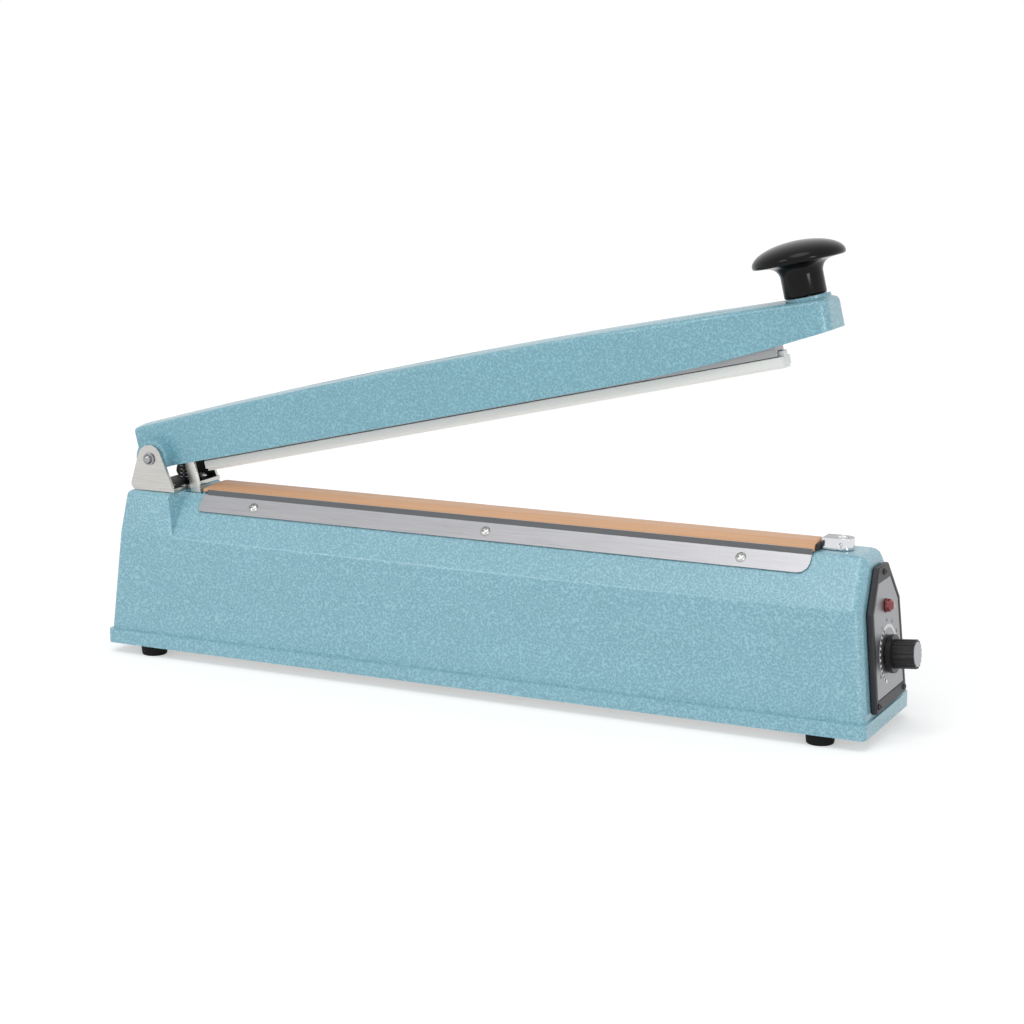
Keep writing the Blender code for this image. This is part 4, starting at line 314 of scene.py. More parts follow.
enamel = makeHammeredEnamel("hammeredEnamel", (1, 1, 1))
# painted shade: the arm takes a darkened copy of the same enamel
armShadedEnamel = makeHammeredEnamel("shadedCopyHammeredEnamel", armShadeTone)
stainless = makeBrushedSteel("satinStainless", "A6A6A9", 0.3)
# painted shade: a darker steel for the trims' lips and the pin head's ring
paintedShadeSteel = makeBrushedSteel("paintedShadeStainless", "6A6C6E", 0.4)
# painted shade: a near-black steel for the bracket's inner ear faces and sole
nearBlackShadeSteel = makeBrushedSteel("nearBlackShadeStainless", "2C2B2A", 0.5)
bracketSteel = makeBrushedSteel("bracketStainless", "C6C5C1", 0.28, 0.6, (30, 1, 1))
barAluminium = makeBrushedSteel("extrudedAluminium", "A6A7A9", 0.36, 0.8, (14, 1, 1))
zinc = makePlate("brightZinc", "C2C3C0", 0.3)
bladeSteel = makePlate("springSteel", "D8D9D4", 0.25)
# a darker chrome for the end post's upward faces
postTop = makePlate("darkerChrome", "A8A8A7", 0.3)
blackedSteel = makePlate("blackenedSteel", "4A4A4C", 0.35)
chrome = makePlate("brightChrome", "DADBDE", 0.09)
phenolic = makeMoulded("blackPhenolic", "0E0D0F", 0.18, 1.6, 0.015, **{"Specular IOR Level": 0.17})
timerPlastic = makeMoulded("blackNylon", "151416", 0.36, 0.7, 0.02, **{"Specular IOR Level": 0.35})
bezelPlastic = makeMoulded("charcoalPlastic", "2A2A2E", 0.42, 0.9, 0.03, **{"Specular IOR Level": 0.35})
rubber = makeMoulded("blackRubber", "0F0F10", 0.72, 1.0, 0.04, **{"Specular IOR Level": 0.2})
milky = {"Subsurface Weight": 0.15, "Subsurface Scale": 0.002}
silicone = makeMoulded("whiteSilicone", "F3F4F1", 0.35, 1.2, 0.02, **milky)
glassCloth = makeGlassCloth()
panelFace = makeBrushedSteel("brushedPanelFace", "9C9DA0", 0.4, 0.5, (1, 8, 1))
lensRed = makeMoulded("redLens", "7C0A13", 0.1, 3.0, 0.01, **{"Coat Weight": 1.0, "Coat Roughness": 0.03})
insulation = makeMoulded("insulatingBoard", "2A2523", 0.7, 0.9, 0.05)
nichrome = makePlate("nichromeRibbon", "A39C92", 0.4)
boardGreen = makeMoulded("circuitBoard", "1E5A34", 0.4, 2.0, 0.02)
laminations = makeLined("steelLaminations", "6B6C70", "3A3B3E", 0.45, 1.0, 1.0, "Y")
copperWire = makeLined("enamelledCopper", "A4552C", "5C2B14", 0.35, 1.0, 1.0, "Z")
capAluminium = makeTurnedAluminium()
buttonWhite = makeMoulded("whiteNylon", "DEDDD8", 0.4)
markInk = makeMoulded("blackInk", "242427", 0.5, 0.6, 0.005)
dialWhite = makeMoulded("whiteInk", "E6E7E8", 0.5, 0.6, 0.005)
print("materials made")

# Meshes


def plainMesh(obj):
    bpy.context.view_layer.update()
    graph = bpy.context.evaluated_depsgraph_get()
    mesh = bpy.data.meshes.new_from_object(obj.evaluated_get(graph), depsgraph=graph)
    mesh.transform(obj.matrix_world)
    return mesh


def newPiece(name, mesh, material, body, slot, *nodes):
    mesh.name = name
    piece = bpy.data.objects.new(name, mesh)
    bpy.context.scene.collection.objects.link(piece)
    if material is not None:
        mesh.materials.clear()
        mesh.materials.append(material)
    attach(piece, body)
    if nodes:
        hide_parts(*nodes)
    return piece


def dropObject(obj):
    bpy.data.objects.remove(obj)


def latheMesh(name, profile, steps, smoothAngle=40):
    # profile is (radius, height) from the top on the axis, down the outside, to the foot on the axis
    shape = bmesh.new()
    verts = [shape.verts.new((radius, 0, height)) for radius, height in profile]
    for first, second in zip(verts, verts[1:]):
        shape.edges.new((first, second))
    outline = shape.verts[:] + shape.edges[:]
    bmesh.ops.spin(shape, geom=outline, cent=(0, 0, 0), axis=(0, 0, 1), angle=2 * math.pi, steps=steps)
    bmesh.ops.remove_doubles(shape, verts=shape.verts, dist=1e-6)
    bmesh.ops.recalc_face_normals(shape, faces=shape.faces)
    mesh = bpy.data.meshes.new(name)
    shape.to_mesh(mesh)
    shape.free()
    mesh.shade_smooth()
    mesh.set_sharp_from_angle(angle=math.radians(smoothAngle))
    return mesh


def frameMatrix(point, along, up):
    # local Z goes along, local Y goes up
    along = along.normalized()
    across = up.cross(along).normalized()
    return Matrix.Translation(point) @ Matrix((across, along.cross(across), along)).transposed().to_4x4()


# A CAD node's own shape with its edges eased and its rounds shaded smooth
def dressed(node, material, slot, edgeMm=0.0, sharpDeg=35, segments=2):
    source = frame["nodes"][node]
    shape = bmesh.new()
    shape.from_mesh(source.data)
    bmesh.ops.remove_doubles(shape, verts=shape.verts, dist=1e-6)
    bmesh.ops.dissolve_limit(shape, angle_limit=math.radians(0.4), verts=shape.verts, edges=shape.edges)
    for face in shape.faces:
        face.smooth = True
    mesh = bpy.data.meshes.new(node)
    shape.to_mesh(mesh)
    shape.free()
    mesh.set_sharp_from_angle(angle=math.radians(sharpDeg))
    helper = bpy.data.objects.new("helper", mesh)
    bpy.context.scene.collection.objects.link(helper)
    if edgeMm:
        bevel = helper.modifiers.new("edge", "BEVEL")
        bevel.width = edgeMm * mm
        bevel.segments = segments
        bevel.limit_method = "ANGLE"
        bevel.angle_limit = math.radians(sharpDeg)
        bevel.use_clamp_overlap = True
    weighted = helper.modifiers.new("normals", "WEIGHTED_NORMAL")
    weighted.keep_sharp = not edgeMm
    skin = plainMesh(helper)
    dropObject(helper)
    words = node.split("_")
    name = words[0] + "".join(word.capitalize() for word in words[1:])
    return newPiece(name, skin, material, source["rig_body"], slot, node)


# What shows, with the size of its eased edges in millimetres
showing = {
    "base_casting": (enamel, "hammered_paint", 1.5, 35),
    "arm_casting": (armShadedEnamel, "hammered_paint", 1.2, 35),
    "hinge_bracket": (bracketSteel, "stainless_steel", 0.35, 40),
    "hinge_pin": (stainless, "stainless_steel", 0.15, 40),
    "pin_nut": (zinc, "zinc_plate", 0.3, 40),
    "front_trim": (stainless, "stainless_steel", 0.15, 30),
    "rear_trim": (stainless, "stainless_steel", 0.15, 30),
    "end_post": (chrome, "chrome_plate", 0.6, 35),
    "end_post_screw": (chrome, "chrome_plate", 0.15, 40),
    "pressure_bar": (barAluminium, "aluminium", 0.3, 40),
    "silicone_strip": (silicone, "white_silicone", 0.3, 40),
    "switch_blade": (bladeSteel, "zinc_plate", 0.25, 40),
    "panel_bezel": (bezelPlastic, "charcoal_plastic", 0.3, 40),
    "panel_plate": (panelFace, "grey_face", 0.1, 40),
    "lamp_lens": (lensRed, "red_lens", 0.25, 10),
    "timer_knob": (timerPlastic, "black_plastic", 0.2, 35),
    "knob_cap": (capAluminium, "aluminium", 0.15, 40),
    "timer_shaft": (barAluminium, "aluminium", 0.1, 40),
    "rubber_foot_1": (rubber, "black_rubber", 0.7, 40),
    "rubber_foot_2": (rubber, "black_rubber", 0.7, 40),
    "rubber_foot_3": (rubber, "black_rubber", 0.7, 40),
    "rubber_foot_4": (rubber, "black_rubber", 0.7, 40),
    "return_spring": (stainless, "stainless_steel", 0.0, 60),
    "spring_guide": (timerPlastic, "black_plastic", 0.4, 40),
    "cord_inlet": (rubber, "black_rubber", 0.4, 40),
    "bottom_cover": (zinc, "zinc_plate", 0.2, 40),
    "bar_post_1": (zinc, "zinc_plate", 0.2, 40),
    "bar_post_2": (zinc, "zinc_plate", 0.2, 40),
    "bar_post_3": (zinc, "zinc_plate", 0.2, 40),
    "knob_stud": (zinc, "zinc_plate", 0.2, 40),
    "blade_screw": (zinc, "zinc_plate", 0.1, 40),
}
pieces = {}
for node, (material, slot, edgeMm, sharpDeg) in showing.items():
    pieces[node] = dressed(node, material, slot, edgeMm, sharpDeg)


def finishFaces(piece, material, chosen):
    piece.data.materials.append(material)
    for face in piece.data.polygons:
        if chosen(face.center, face.normal):
            face.material_index = 1


squarely = 0.95  # a face looks squarely along an axis when its normal has more than this along it
soleTop = hingePoint.z - 10 * mm


# painted shade: the bracket's inner ear faces and its sole, where shade falls inside the bracket
def insideBracket(centre, normal):
    innerEar = abs(normal.y) > squarely and centre.y * normal.y < 0
    sole = normal.z > squarely and centre.z < soleTop
    return innerEar or sole


# painted shade: the folded lips of the trims take a darker steel, standing in for the dark they reflect; the
# bracket's inner ear faces and its sole take a near-black steel, standing in for the shade inside the bracket
for node in ("front_trim", "rear_trim"):
    finishFaces(pieces[node], paintedShadeSteel, lambda centre, normal: abs(normal.y) > squarely)
finishFaces(pieces["hinge_bracket"], nearBlackShadeSteel, insideBracket)
# the coil is drawn pressed as the shut arm presses it, so that it has room under the arm at every pose
springPressed = 0.85
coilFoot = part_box("return_spring")[0].z
for vert in pieces["return_spring"].data.vertices:
    vert.co.z = coilFoot + (vert.co.z - coilFoot) * springPressed
# painted reflection: the sloping ring of the hinge pin's head takes the darker steel, standing in for the
# dark reflections round its dome
finishFaces(pieces["hinge_pin"], paintedShadeSteel, lambda centre, normal: 0.15 < abs(normal.y) < 0.75)
# the end post's upward faces take the darker chrome
finishFaces(pieces["end_post"], postTop, lambda centre, normal: normal.z > squarely)
print("solids dressed:", len(showing))

# What is inside keeps its solid and takes a finish
inside = {
    "element_insulator": insulation,
    "heating_element": nichrome,
    "lamp_holder": timerPlastic,
    "potentiometer": zinc,
    "timer_board": boardGreen,
    "timer_relay": timerPlastic,
    "transformer_core": laminations,
    "transformer_winding": copperWire,
    "micro_switch": timerPlastic,
    "switch_button": buttonWhite,
    "switch_plate": zinc,
}
for node, material in inside.items():
    mesh = frame["nodes"][node].data
    mesh.materials.clear()
    mesh.materials.append(material)

# The mushroom knob
knob = {
    "radius": 27.9,
    "height": 33,
    "rimHeight": 22,
    "stemRadius": 12.7,
    "steps": 72,
    "rim": [(27.75, 21.3), (27.4, 20.7), (26.8, 20.35), (26, 20.2), (22, 19.8), (18.4, 19.35)],
    "flare": [(16.6, 18.8), (15.2, 17.9), (14.1, 16.7), (13.3, 15.3), (12.8, 13.8)],
}


def knobProfile():
    radius, rim, top = knob["radius"] * mm, knob["rimHeight"] * mm, knob["height"] * mm
    stem = knob["stemRadius"] * mm
    turns = [math.pi / 2 * i / 16 for i in range(17)]
    dome = [(radius * math.sin(a), rim + (top - rim) * math.cos(a)) for a in turns]
    under = [(out * mm, up * mm) for out, up in knob["rim"] + knob["flare"]]
    foot = [(stem, 12.5 * mm), (stem, 1.2 * mm), (stem - 0.3 * mm, 0.3 * mm), (stem - 1 * mm, 0), (0, 0)]
    return [(0, top), *dome[1:], *under, *foot]


def seatOf(node, along):
    # the point on a turned node's axis at its foot, and at its top
    points = [vert.co for vert in frame["nodes"][node].data.vertices]
    reach = [point.dot(along) for point in points]
    low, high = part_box(node)
    centre = (low + high) / 2
    middle = centre.dot(along)
    return centre + along * (min(reach) - middle), centre + along * (max(reach) - middle)


knobFoot, knobTop = seatOf("arm_knob", armUp)
knobMesh = latheMesh("mushroomKnob", knobProfile(), knob["steps"], 50)
knobMesh.transform(frameMatrix(Vector((knobFoot.x, 0, knobFoot.z)), armUp, armAlong))
newPiece("mushroomKnob", knobMesh, phenolic, "arm", "black_plastic", "arm_knob")
print("knob made")

# The coated cloth over the heated strip, folded down on both sides and at both ends
clothShape = {
    "shoulderRise": 2.1,
    "topHalf": 5.9,
    "startSlope": 4.5,
    "endSlope": 0.8,
    "thickness": 0.3,
    "ripple": 0.07,
    "stations": 130,
}


def clothSection(half, low, shoulder, top):
    topHalf = clothShape["topHalf"] * mm
    right = [
        (half, low), (half, low + (shoulder - low) * 0.5), (half - 0.1 * mm, shoulder - 0.5 * mm),
        (half - 0.6 * mm, shoulder + 0.05 * mm), (half - 1.4 * mm, shoulder + 0.42 * mm),
    ]
    edge = (topHalf + 1.2 * mm, top - 0.36 * mm)
    (fromY, fromZ), (toY, toZ) = right[-1], edge
    right += [(fromY + (toY - fromY) * i / 4, fromZ + (toZ - fromZ) * i / 4) for i in range(1, 5)]
    right += [(topHalf, top - 0.08 * mm), (topHalf - 1.2 * mm, top), (topHalf * 0.5, top), (0, top)]
    return right + [(-y, z) for y, z in reversed(right[:-1])]


def makeCloth():
    low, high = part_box("ptfe_cloth")
    half = high.y - 0.1 * mm
    shoulder = low.z + clothShape["shoulderRise"] * mm
    section = clothSection(half, low.z, shoulder, high.z)
    start, end = low.x, high.x
    startSlope, endSlope = clothShape["startSlope"] * mm, clothShape["endSlope"] * mm
    count = clothShape["stations"]
    rises = [(start + startSlope * i / 5, i / 5) for i in range(6)]
    middle = [
        (start + startSlope + (end - endSlope - start - startSlope) * i / count, 1.0) for i in range(1, count)
    ]
    falls = [(end - endSlope * i / 5, i / 5) for i in range(5, -1, -1)]
    rows = [("skirt", start, 0.0), ("skirt", start, 0.5)]
    rows += [("hip", x, share) for x, share in rises + middle + falls]
    rows += [("skirt", end, 0.5), ("skirt", end, 0.0)]
    shape = bmesh.new()
    lay = shape.loops.layers.uv.new("lay")
    grid = []
    walked = 0.0
    lastPoint = None
    lengths = []
    for kind, x, share in rows:
        ring = []
        for y, z in section:
            if kind == "skirt":
                height = low.z + (min(z, shoulder) - low.z) * share
            else:
                height = min(z, shoulder + (high.z - shoulder) * share)
            lengthwise = math.sin(x / (9.3 * mm) + 3 * math.sin(x / (31 * mm)))
            wave = lengthwise * math.sin(y / (7 * mm) + x / (40 * mm))
            lift = clothShape["ripple"] * mm * (wave - 1) / 2 if share == 1.0 and abs(y) < half * 0.9 else 0
            ring.append(shape.verts.new((x, y, height + lift)))
        crest = Vector((x, 0, ring[len(ring) // 2].co.z))
        walked += 0 if lastPoint is None else (crest - lastPoint).length
        lastPoint = crest
        lengths.append(walked)
        grid.append(ring)
    across = [0.0]
    for (y0, z0), (y1, z1) in zip(section, section[1:]):
        across.append(across[-1] + math.hypot(y1 - y0, z1 - z0))
    for i in range(len(grid) - 1):
        for j in range(len(section) - 1):
            corners = (grid[i][j], grid[i + 1][j], grid[i + 1][j + 1], grid[i][j + 1])
            face = shape.faces.new(corners)
            face.smooth = True
            here, there = lengths[i], lengths[i + 1]
            near, far = across[j], across[j + 1]
            for loop, uv in zip(face.loops, ((here, near), (there, near), (there, far), (here, far))):
                loop[lay].uv = uv
    bmesh.ops.recalc_face_normals(shape, faces=shape.faces)
    if sum(face.normal.z * face.calc_area() for face in shape.faces) < 0:
        bmesh.ops.reverse_faces(shape, faces=shape.faces)
    mesh = bpy.data.meshes.new("cloth")
    shape.to_mesh(mesh)
    shape.free()
    helper = bpy.data.objects.new("helper", mesh)
    bpy.context.scene.collection.objects.link(helper)
    thick = helper.modifiers.new("thickness", "SOLIDIFY")
    thick.thickness = clothShape["thickness"] * mm
    thick.offset = -1
    skin = plainMesh(helper)
    dropObject(helper)
    piece = newPiece("stripCloth", skin, glassCloth, "base", "tan_cloth", "ptfe_cloth")
    return piece


makeCloth()


# The board's dark end stands between the cloth and the terminal post
def makeBoardEnd():
    clothLow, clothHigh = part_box("ptfe_cloth")
    postLow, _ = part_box("end_post")
    low = Vector((clothHigh.x + 0.15 * mm, clothLow.y + 2 * mm, clothLow.z + 0.5 * mm))
    high = Vector((postLow.x - 0.15 * mm, clothHigh.y - 2 * mm, clothHigh.z - 0.8 * mm))
    shape = bmesh.new()
    bmesh.ops.create_cube(shape, size=1)
    bmesh.ops.scale(shape, vec=high - low, verts=shape.verts)
    bmesh.ops.translate(shape, vec=(low + high) / 2, verts=shape.verts)
    bmesh.ops.bevel(shape, geom=shape.edges[:], offset=0.2 * mm, segments=2, profile=0.5, affect="EDGES")
    mesh = bpy.data.meshes.new("boardEnd")
    shape.to_mesh(mesh)
    shape.free()
    newPiece("boardEnd", mesh, insulation, "base", "insulating_board")


makeBoardEnd()
print("cloth made")

# Screws: one cross-recessed pan head, placed wherever a fastener shows
screwHead = {"heightShare": 0.5, "crossShare": 0.6, "slotShare": 0.16, "depthShare": 0.32, "shankShare": 0.42}


def makeScrewPattern():
    rise = screwHead["heightShare"]
    shank = screwHead["shankShare"]
    dome = [(0, 0), (0.25, -0.02), (0.48, -0.07), (0.68, -0.15), (0.85, -0.26), (0.96, -0.38)]
    profile = [*dome, (1, -rise * 0.95), (0.99, -rise), (shank, -rise), (shank, -1.1), (0, -1.1)]
    head = bpy.data.objects.new("screwPattern", latheMesh("screwPattern", profile, 40))
    bpy.context.scene.collection.objects.link(head)
    cutters = []
    for turn in (0, math.pi / 2):
        shape = bmesh.new()
        bmesh.ops.create_cube(shape, size=1)
        size = (2 * screwHead["crossShare"], 2 * screwHead["slotShare"], 2 * screwHead["depthShare"])
        bmesh.ops.scale(shape, vec=size, verts=shape.verts)
        bmesh.ops.rotate(shape, cent=(0, 0, 0), matrix=Matrix.Rotation(turn + 0.6, 3, "Z"), verts=shape.verts)
        mesh = bpy.data.meshes.new("cross")
        shape.to_mesh(mesh)
        shape.free()
        cutter = bpy.data.objects.new("cross", mesh)
        bpy.context.scene.collection.objects.link(cutter)
        cutters.append(cutter)
        recess = head.modifiers.new("cross", "BOOLEAN")
        recess.object = cutter
        recess.solver = "EXACT"
    mesh = plainMesh(head)
    mesh.set_sharp_from_angle(angle=math.radians(35))
    for obj in (head, *cutters):
        dropObject(obj)
    pattern = bpy.data.objects.new("screwPattern", mesh)
    bpy.context.scene.collection.objects.link(pattern)
    return pattern


def makeScrewTree():
    tree = bpy.data.node_groups.new("placeScrews", "GeometryNodeTree")
    tree.interface.new_socket("Geometry", in_out="INPUT", socket_type="NodeSocketGeometry")
    tree.interface.new_socket("Screw", in_out="INPUT", socket_type="NodeSocketObject")
    tree.interface.new_socket("Finish", in_out="INPUT", socket_type="NodeSocketMaterial")
    tree.interface.new_socket("Geometry", in_out="OUTPUT", socket_type="NodeSocketGeometry")
    given = addNode(tree, "NodeGroupInput")
    screw = addNode(tree, "GeometryNodeObjectInfo", {"Object": given.outputs["Screw"]})
    facing = addNode(tree, "GeometryNodeInputNamedAttribute", {"Name": "facing"}, data_type="FLOAT_VECTOR")
    size = addNode(tree, "GeometryNodeInputNamedAttribute", {"Name": "size"}, data_type="FLOAT")
    way = {"Vector": facing.outputs["Attribute"]}
    turn = addNode(tree, "FunctionNodeAlignRotationToVector", way, axis="Z")
    placed = addNode(
        tree,
        "GeometryNodeInstanceOnPoints",
        {
            "Points": given.outputs["Geometry"],
            "Instance": screw.outputs["Geometry"],
            "Rotation": turn.outputs["Rotation"],
            "Scale": size.outputs["Attribute"],
        },
    )
    real = addNode(tree, "GeometryNodeRealizeInstances", {"Geometry": placed.outputs["Instances"]})
    dress = {"Geometry": real.outputs["Geometry"], "Material": given.outputs["Finish"]}
    coloured = addNode(tree, "GeometryNodeSetMaterial", dress)
    addNode(tree, "NodeGroupOutput", {"Geometry": coloured.outputs["Geometry"]})
    return tree


def setInput(modifier, name, value):
    for item in modifier.node_group.interface.items_tree:
        if item.item_type == "SOCKET" and item.in_out == "INPUT" and item.name == name:
            modifier[item.identifier] = value


def placeScrews(name, nodes, facing, radiusMm, pattern, tree, finish, slot):
    facing = facing.normalized()
    mesh = bpy.data.meshes.new(name)
    mesh.from_pydata([tuple(seatOf(node, facing)[1]) for node in nodes], [], [])
    mesh.attributes.new("facing", "FLOAT_VECTOR", "POINT")
    mesh.attributes.new("size", "FLOAT", "POINT")
    for i in range(len(nodes)):
        mesh.attributes["facing"].data[i].vector = facing
        mesh.attributes["size"].data[i].value = radiusMm * mm
    helper = bpy.data.objects.new("helper", mesh)
    bpy.context.scene.collection.objects.link(helper)
    modifier = helper.modifiers.new("screws", "NODES")
    modifier.node_group = tree
    setInput(modifier, "Screw", pattern)
    setInput(modifier, "Finish", finish)
    skin = plainMesh(helper)
    dropObject(helper)
    newPiece(name, skin, finish, "base", slot, *nodes)


slopeDeg = 49.994
slope = Vector((0, -math.sin(math.radians(slopeDeg)), math.cos(math.radians(slopeDeg))))
screwPattern = makeScrewPattern()
screwTree = makeScrewTree()
screwSets = {
    "frontTrimScrews": ([f"front_trim_screw_{i}" for i in (1, 2, 3)], slope, 3.3),
    "rearTrimScrews": ([f"rear_trim_screw_{i}" for i in (1, 2, 3)], Vector((0, -slope.y, slope.z)), 3.3),
    "coverScrews": ([f"cover_screw_{i}" for i in (1, 2, 3, 4)], Vector((0, 0, -1)), 3.0),
    "bracketScrews": (["bracket_screw_1", "bracket_screw_2"], Vector((0, 0, 1)), 3.8),
    "panelScrews": ([f"panel_screw_{i}" for i in (1, 2, 3)], dialOut, 2.0),
}
for name, (nodes, facing, radiusMm) in screwSets.items():
    finish = blackedSteel if name == "panelScrews" else zinc
    placeScrews(name, nodes, facing, radiusMm, screwPattern, screwTree, finish, "zinc_plate")
dropObject(screwPattern)
print("screws placed:", sum(len(nodes) for nodes, _, _ in screwSets.values()))

# The dial round the timer knob: a white ring, ticks, and plain numbers
dial = {
    "lift": 4.0,
    "ringInner": 15.6,
    "ringOuter": 17.8,
    "ringStartDeg": -160,
    "ringEndDeg": 110,
    "thickness": 0.08,
    "ticks": 11,
    "tickRadius": 16.7,
    "tickLength": 2.0,
    "tickWidth": 2.0,
    "tickSweepDeg": 120,
    "tickMiddleDeg": -85,
    "sweepDeg": 240,
    "numbers": 9,
    "numberRadius": 20.2,
    "numberSize": 3.3,
}


def makeTickTree():
    tree = bpy.data.node_groups.new("dialTicks", "GeometryNodeTree")
    for name, kind in (
        ("Count", "NodeSocketInt"), ("Radius", "NodeSocketFloat"), ("Sweep", "NodeSocketFloat"),
        ("Tick", "NodeSocketVector"), ("Ink", "NodeSocketMaterial"),
    ):
        tree.interface.new_socket(name, in_out="INPUT", socket_type=kind)
    tree.interface.new_socket("Geometry", in_out="OUTPUT", socket_type="NodeSocketGeometry")
    given = addNode(tree, "NodeGroupInput")
    points = addNode(tree, "GeometryNodeMeshLine", {"Count": given.outputs["Count"]})
    index = addNode(tree, "GeometryNodeInputIndex")
    last = addNode(tree, "ShaderNodeMath", {0: given.outputs["Count"], 1: 1.0}, operation="SUBTRACT")
    parts = {0: index.outputs["Index"], 1: last.outputs["Value"]}
    share = addNode(tree, "ShaderNodeMath", parts, operation="DIVIDE")
    centred = addNode(tree, "ShaderNodeMath", {0: share.outputs["Value"], 1: 0.5}, operation="SUBTRACT")
    swept = {0: centred.outputs["Value"], 1: given.outputs["Sweep"]}
    angle = addNode(tree, "ShaderNodeMath", swept, operation="MULTIPLY")
    sine = addNode(tree, "ShaderNodeMath", {0: angle.outputs["Value"]}, operation="SINE")
    cosine = addNode(tree, "ShaderNodeMath", {0: angle.outputs["Value"]}, operation="COSINE")
    spot = addNode(tree, "ShaderNodeCombineXYZ", {"X": sine.outputs["Value"], "Y": cosine.outputs["Value"]})
    reach = {0: spot.outputs["Vector"], "Scale": given.outputs["Radius"]}
    far = addNode(tree, "ShaderNodeVectorMath", reach, operation="SCALE")
    spread = {"Geometry": points.outputs["Mesh"], "Position": far.outputs["Vector"]}
    moved = addNode(tree, "GeometryNodeSetPosition", spread)
    back = addNode(tree, "ShaderNodeMath", {0: angle.outputs["Value"], 1: -1.0}, operation="MULTIPLY")
    turn = addNode(tree, "ShaderNodeCombineXYZ", {"Z": back.outputs["Value"]})
    tick = addNode(tree, "GeometryNodeMeshCube", {"Size": given.outputs["Tick"]})
    placed = addNode(
        tree,
        "GeometryNodeInstanceOnPoints",
        {
            "Points": moved.outputs["Geometry"],
            "Instance": tick.outputs["Mesh"],
            "Rotation": turn.outputs["Vector"],
        },
    )
    real = addNode(tree, "GeometryNodeRealizeInstances", {"Geometry": placed.outputs["Instances"]})
    dress = {"Geometry": real.outputs["Geometry"], "Material": given.outputs["Ink"]}
    coloured = addNode(tree, "GeometryNodeSetMaterial", dress)
    addNode(tree, "NodeGroupOutput", {"Geometry": coloured.outputs["Geometry"]})
    return tree


def arcMesh(name, inner, outer, thick, startDeg, endDeg, steps):
    # angles run clockwise from the top
    shape = bmesh.new()
    rows = []
    for i in range(steps + 1):
        angle = math.radians(startDeg + (endDeg - startDeg) * i / steps)
        corners = ((inner, 0), (outer, 0), (outer, thick), (inner, thick))
        rows.append([shape.verts.new((r * math.sin(angle), r * math.cos(angle), z)) for r, z in corners])
    for one, two in zip(rows, rows[1:]):
        for i in range(4):
            shape.faces.new((one[i], one[(i + 1) % 4], two[(i + 1) % 4], two[i]))
    shape.faces.new(rows[0])
    shape.faces.new(rows[-1])
    bmesh.ops.recalc_face_normals(shape, faces=shape.faces)
    mesh = bpy.data.meshes.new(name)
    shape.to_mesh(mesh)
    shape.free()
    return mesh


def makeDial():
    place = frameMatrix(dialPoint + dialOut * dial["lift"] * mm, dialOut, dialUp)
    inner, outer, thick = dial["ringInner"] * mm, dial["ringOuter"] * mm, dial["thickness"] * mm
    ring = arcMesh("dialRing", inner, outer, thick, dial["ringStartDeg"], dial["ringEndDeg"], 80)
    ring.transform(place)
    newPiece("dialRing", ring, dialWhite, "base", "grey_face")
    helper = bpy.data.objects.new("helper", bpy.data.meshes.new("ticks"))
    bpy.context.scene.collection.objects.link(helper)
    modifier = helper.modifiers.new("ticks", "NODES")
    modifier.node_group = makeTickTree()
    setInput(modifier, "Count", dial["ticks"])
    setInput(modifier, "Radius", dial["tickRadius"] * mm)
    setInput(modifier, "Sweep", math.radians(dial["tickSweepDeg"]))
    setInput(modifier, "Tick", (dial["tickWidth"] * mm, dial["tickLength"] * mm, 2.6 * thick))
    setInput(modifier, "Ink", markInk)
    ticks = plainMesh(helper)
    dropObject(helper)
    ticks.transform(place @ Matrix.Rotation(-math.radians(dial["tickMiddleDeg"]), 4, "Z"))
    newPiece("dialTicks", ticks, markInk, "base", "grey_face")
    shape = bmesh.new()
    for i in range(dial["numbers"]):
        angle = math.radians(dial["sweepDeg"]) * (i / (dial["numbers"] - 1) - 0.5)
        text = bpy.data.curves.new("number", "FONT")
        text.body = str(i)
        text.size = dial["numberSize"] * mm
        text.extrude = thick
        text.align_x = "CENTER"
        text.align_y = "CENTER"
        holder = bpy.data.objects.new("number", text)
        out = dial["numberRadius"] * mm
        holder.location = (out * math.sin(angle), out * math.cos(angle), 0)
        bpy.context.scene.collection.objects.link(holder)
        shape.from_mesh(plainMesh(holder))
        dropObject(holder)
    bmesh.ops.remove_doubles(shape, verts=shape.verts, dist=1e-7)
    numbers = bpy.data.meshes.new("dialNumbers")
    shape.to_mesh(numbers)
    shape.free()
    numbers.transform(place)
    newPiece("dialNumbers", numbers, markInk, "base", "grey_face")


makeDial()
print("dial made")

# Camera, from the photograph's viewing angle
view = {
    "azimuth": 25.82,
    "elevation": 11.5,
    "distance": 1.49666,
    "target": (0.007667, 0, 0.11315),
    "lens": 83.32,
}


def makeCamera():
    data = bpy.data.cameras.new("photoCamera")
    data.sensor_width = 36
    data.lens = view["lens"]
    data.clip_end = 50
    camera = bpy.data.objects.new("photoCamera", data)
    bpy.context.scene.collection.objects.link(camera)
    side, rise = math.radians(view["azimuth"]), math.radians(view["elevation"])
    back = Vector((math.sin(side) * math.cos(rise), -math.cos(side) * math.cos(rise), math.sin(rise)))
    camera.location = Vector(view["target"]) + back * view["distance"]
    camera.rotation_euler = (-back).to_track_quat("-Z", "Y").to_euler()
    bpy.context.scene.camera = camera


makeCamera()

# Floor, lamps and world
studio = {"worldLevel": 0.62, "floorKept": 0.8, "floorGlow": 2.0, "floorColour": "F4F4F4"}
# direction that each lamp stands in, its width in degrees and its strength
lamps = {
    "keyLamp": ((0.0, -0.42, 0.9), 36, 0.85),
    "creaseLamp": ((-0.43, -0.8, 0.41), 14, 0.35),
    "bandLamp": ((0.79, -0.585, 0.1), 11, 0.45),
}


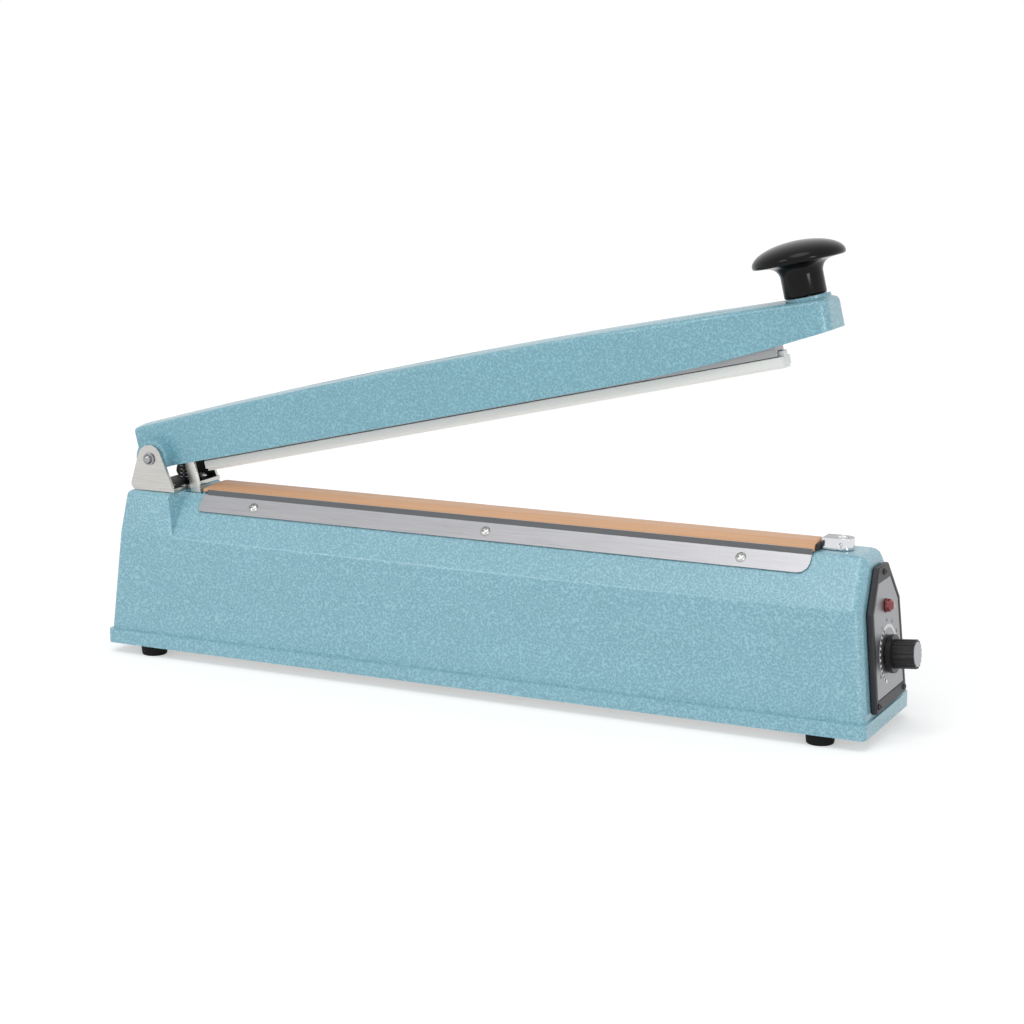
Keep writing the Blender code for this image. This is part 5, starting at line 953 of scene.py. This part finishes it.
def seenDirectly(tree):
    path = addNode(tree, "ShaderNodeLightPath")
    either = addNode(
        tree,
        "ShaderNodeMath",
        {0: path.outputs["Is Camera Ray"], 1: path.outputs["Is Glossy Ray"]},
        operation="MAXIMUM",
    )
    third = {0: either.outputs["Value"], 1: path.outputs["Is Transmission Ray"]}
    return addNode(tree, "ShaderNodeMath", third, operation="MAXIMUM").outputs["Value"]


def makeStudio():
    world = bpy.data.worlds.new("studio")
    bpy.context.scene.world = world
    world.use_nodes = True
    tree = world.node_tree
    background = tree.nodes["Background"]
    background.inputs["Color"].default_value = (1, 1, 1, 1)
    level = spanned(tree, seenDirectly(tree), studio["worldLevel"], 1.0)
    tree.links.new(level, background.inputs["Strength"])
    material = bpy.data.materials.new("paperSweep")
    material.use_nodes = True
    tree = material.node_tree
    tree.nodes.clear()
    paper = addNode(tree, "ShaderNodeBsdfDiffuse", {"Color": linearColour(studio["floorColour"])})
    glow = addNode(tree, "ShaderNodeEmission", {"Color": (1, 1, 1, 1), "Strength": studio["floorGlow"]})
    share = spanned(tree, seenDirectly(tree), 0.0, 1 - studio["floorKept"])
    mixed = {0: share, 1: paper.outputs["BSDF"], 2: glow.outputs["Emission"]}
    both = addNode(tree, "ShaderNodeMixShader", mixed)
    addNode(tree, "ShaderNodeOutputMaterial", {"Surface": both.outputs["Shader"]})
    shape = bmesh.new()
    bmesh.ops.create_grid(shape, x_segments=1, y_segments=1, size=12)
    mesh = bpy.data.meshes.new("floor")
    shape.to_mesh(mesh)
    shape.free()
    floor = bpy.data.objects.new("floor", mesh)
    mesh.materials.append(material)
    bpy.context.scene.collection.objects.link(floor)
    for name, (toward, widthDeg, strength) in lamps.items():
        data = bpy.data.lights.new(name, "SUN")
        data.angle = math.radians(widthDeg)
        data.energy = strength
        lamp = bpy.data.objects.new(name, data)
        lamp.rotation_euler = (-Vector(toward)).to_track_quat("-Z", "Y").to_euler()
        bpy.context.scene.collection.objects.link(lamp)


makeStudio()
bpy.context.scene.view_settings.view_transform = "Standard"
print("camera, floor and lamps placed")
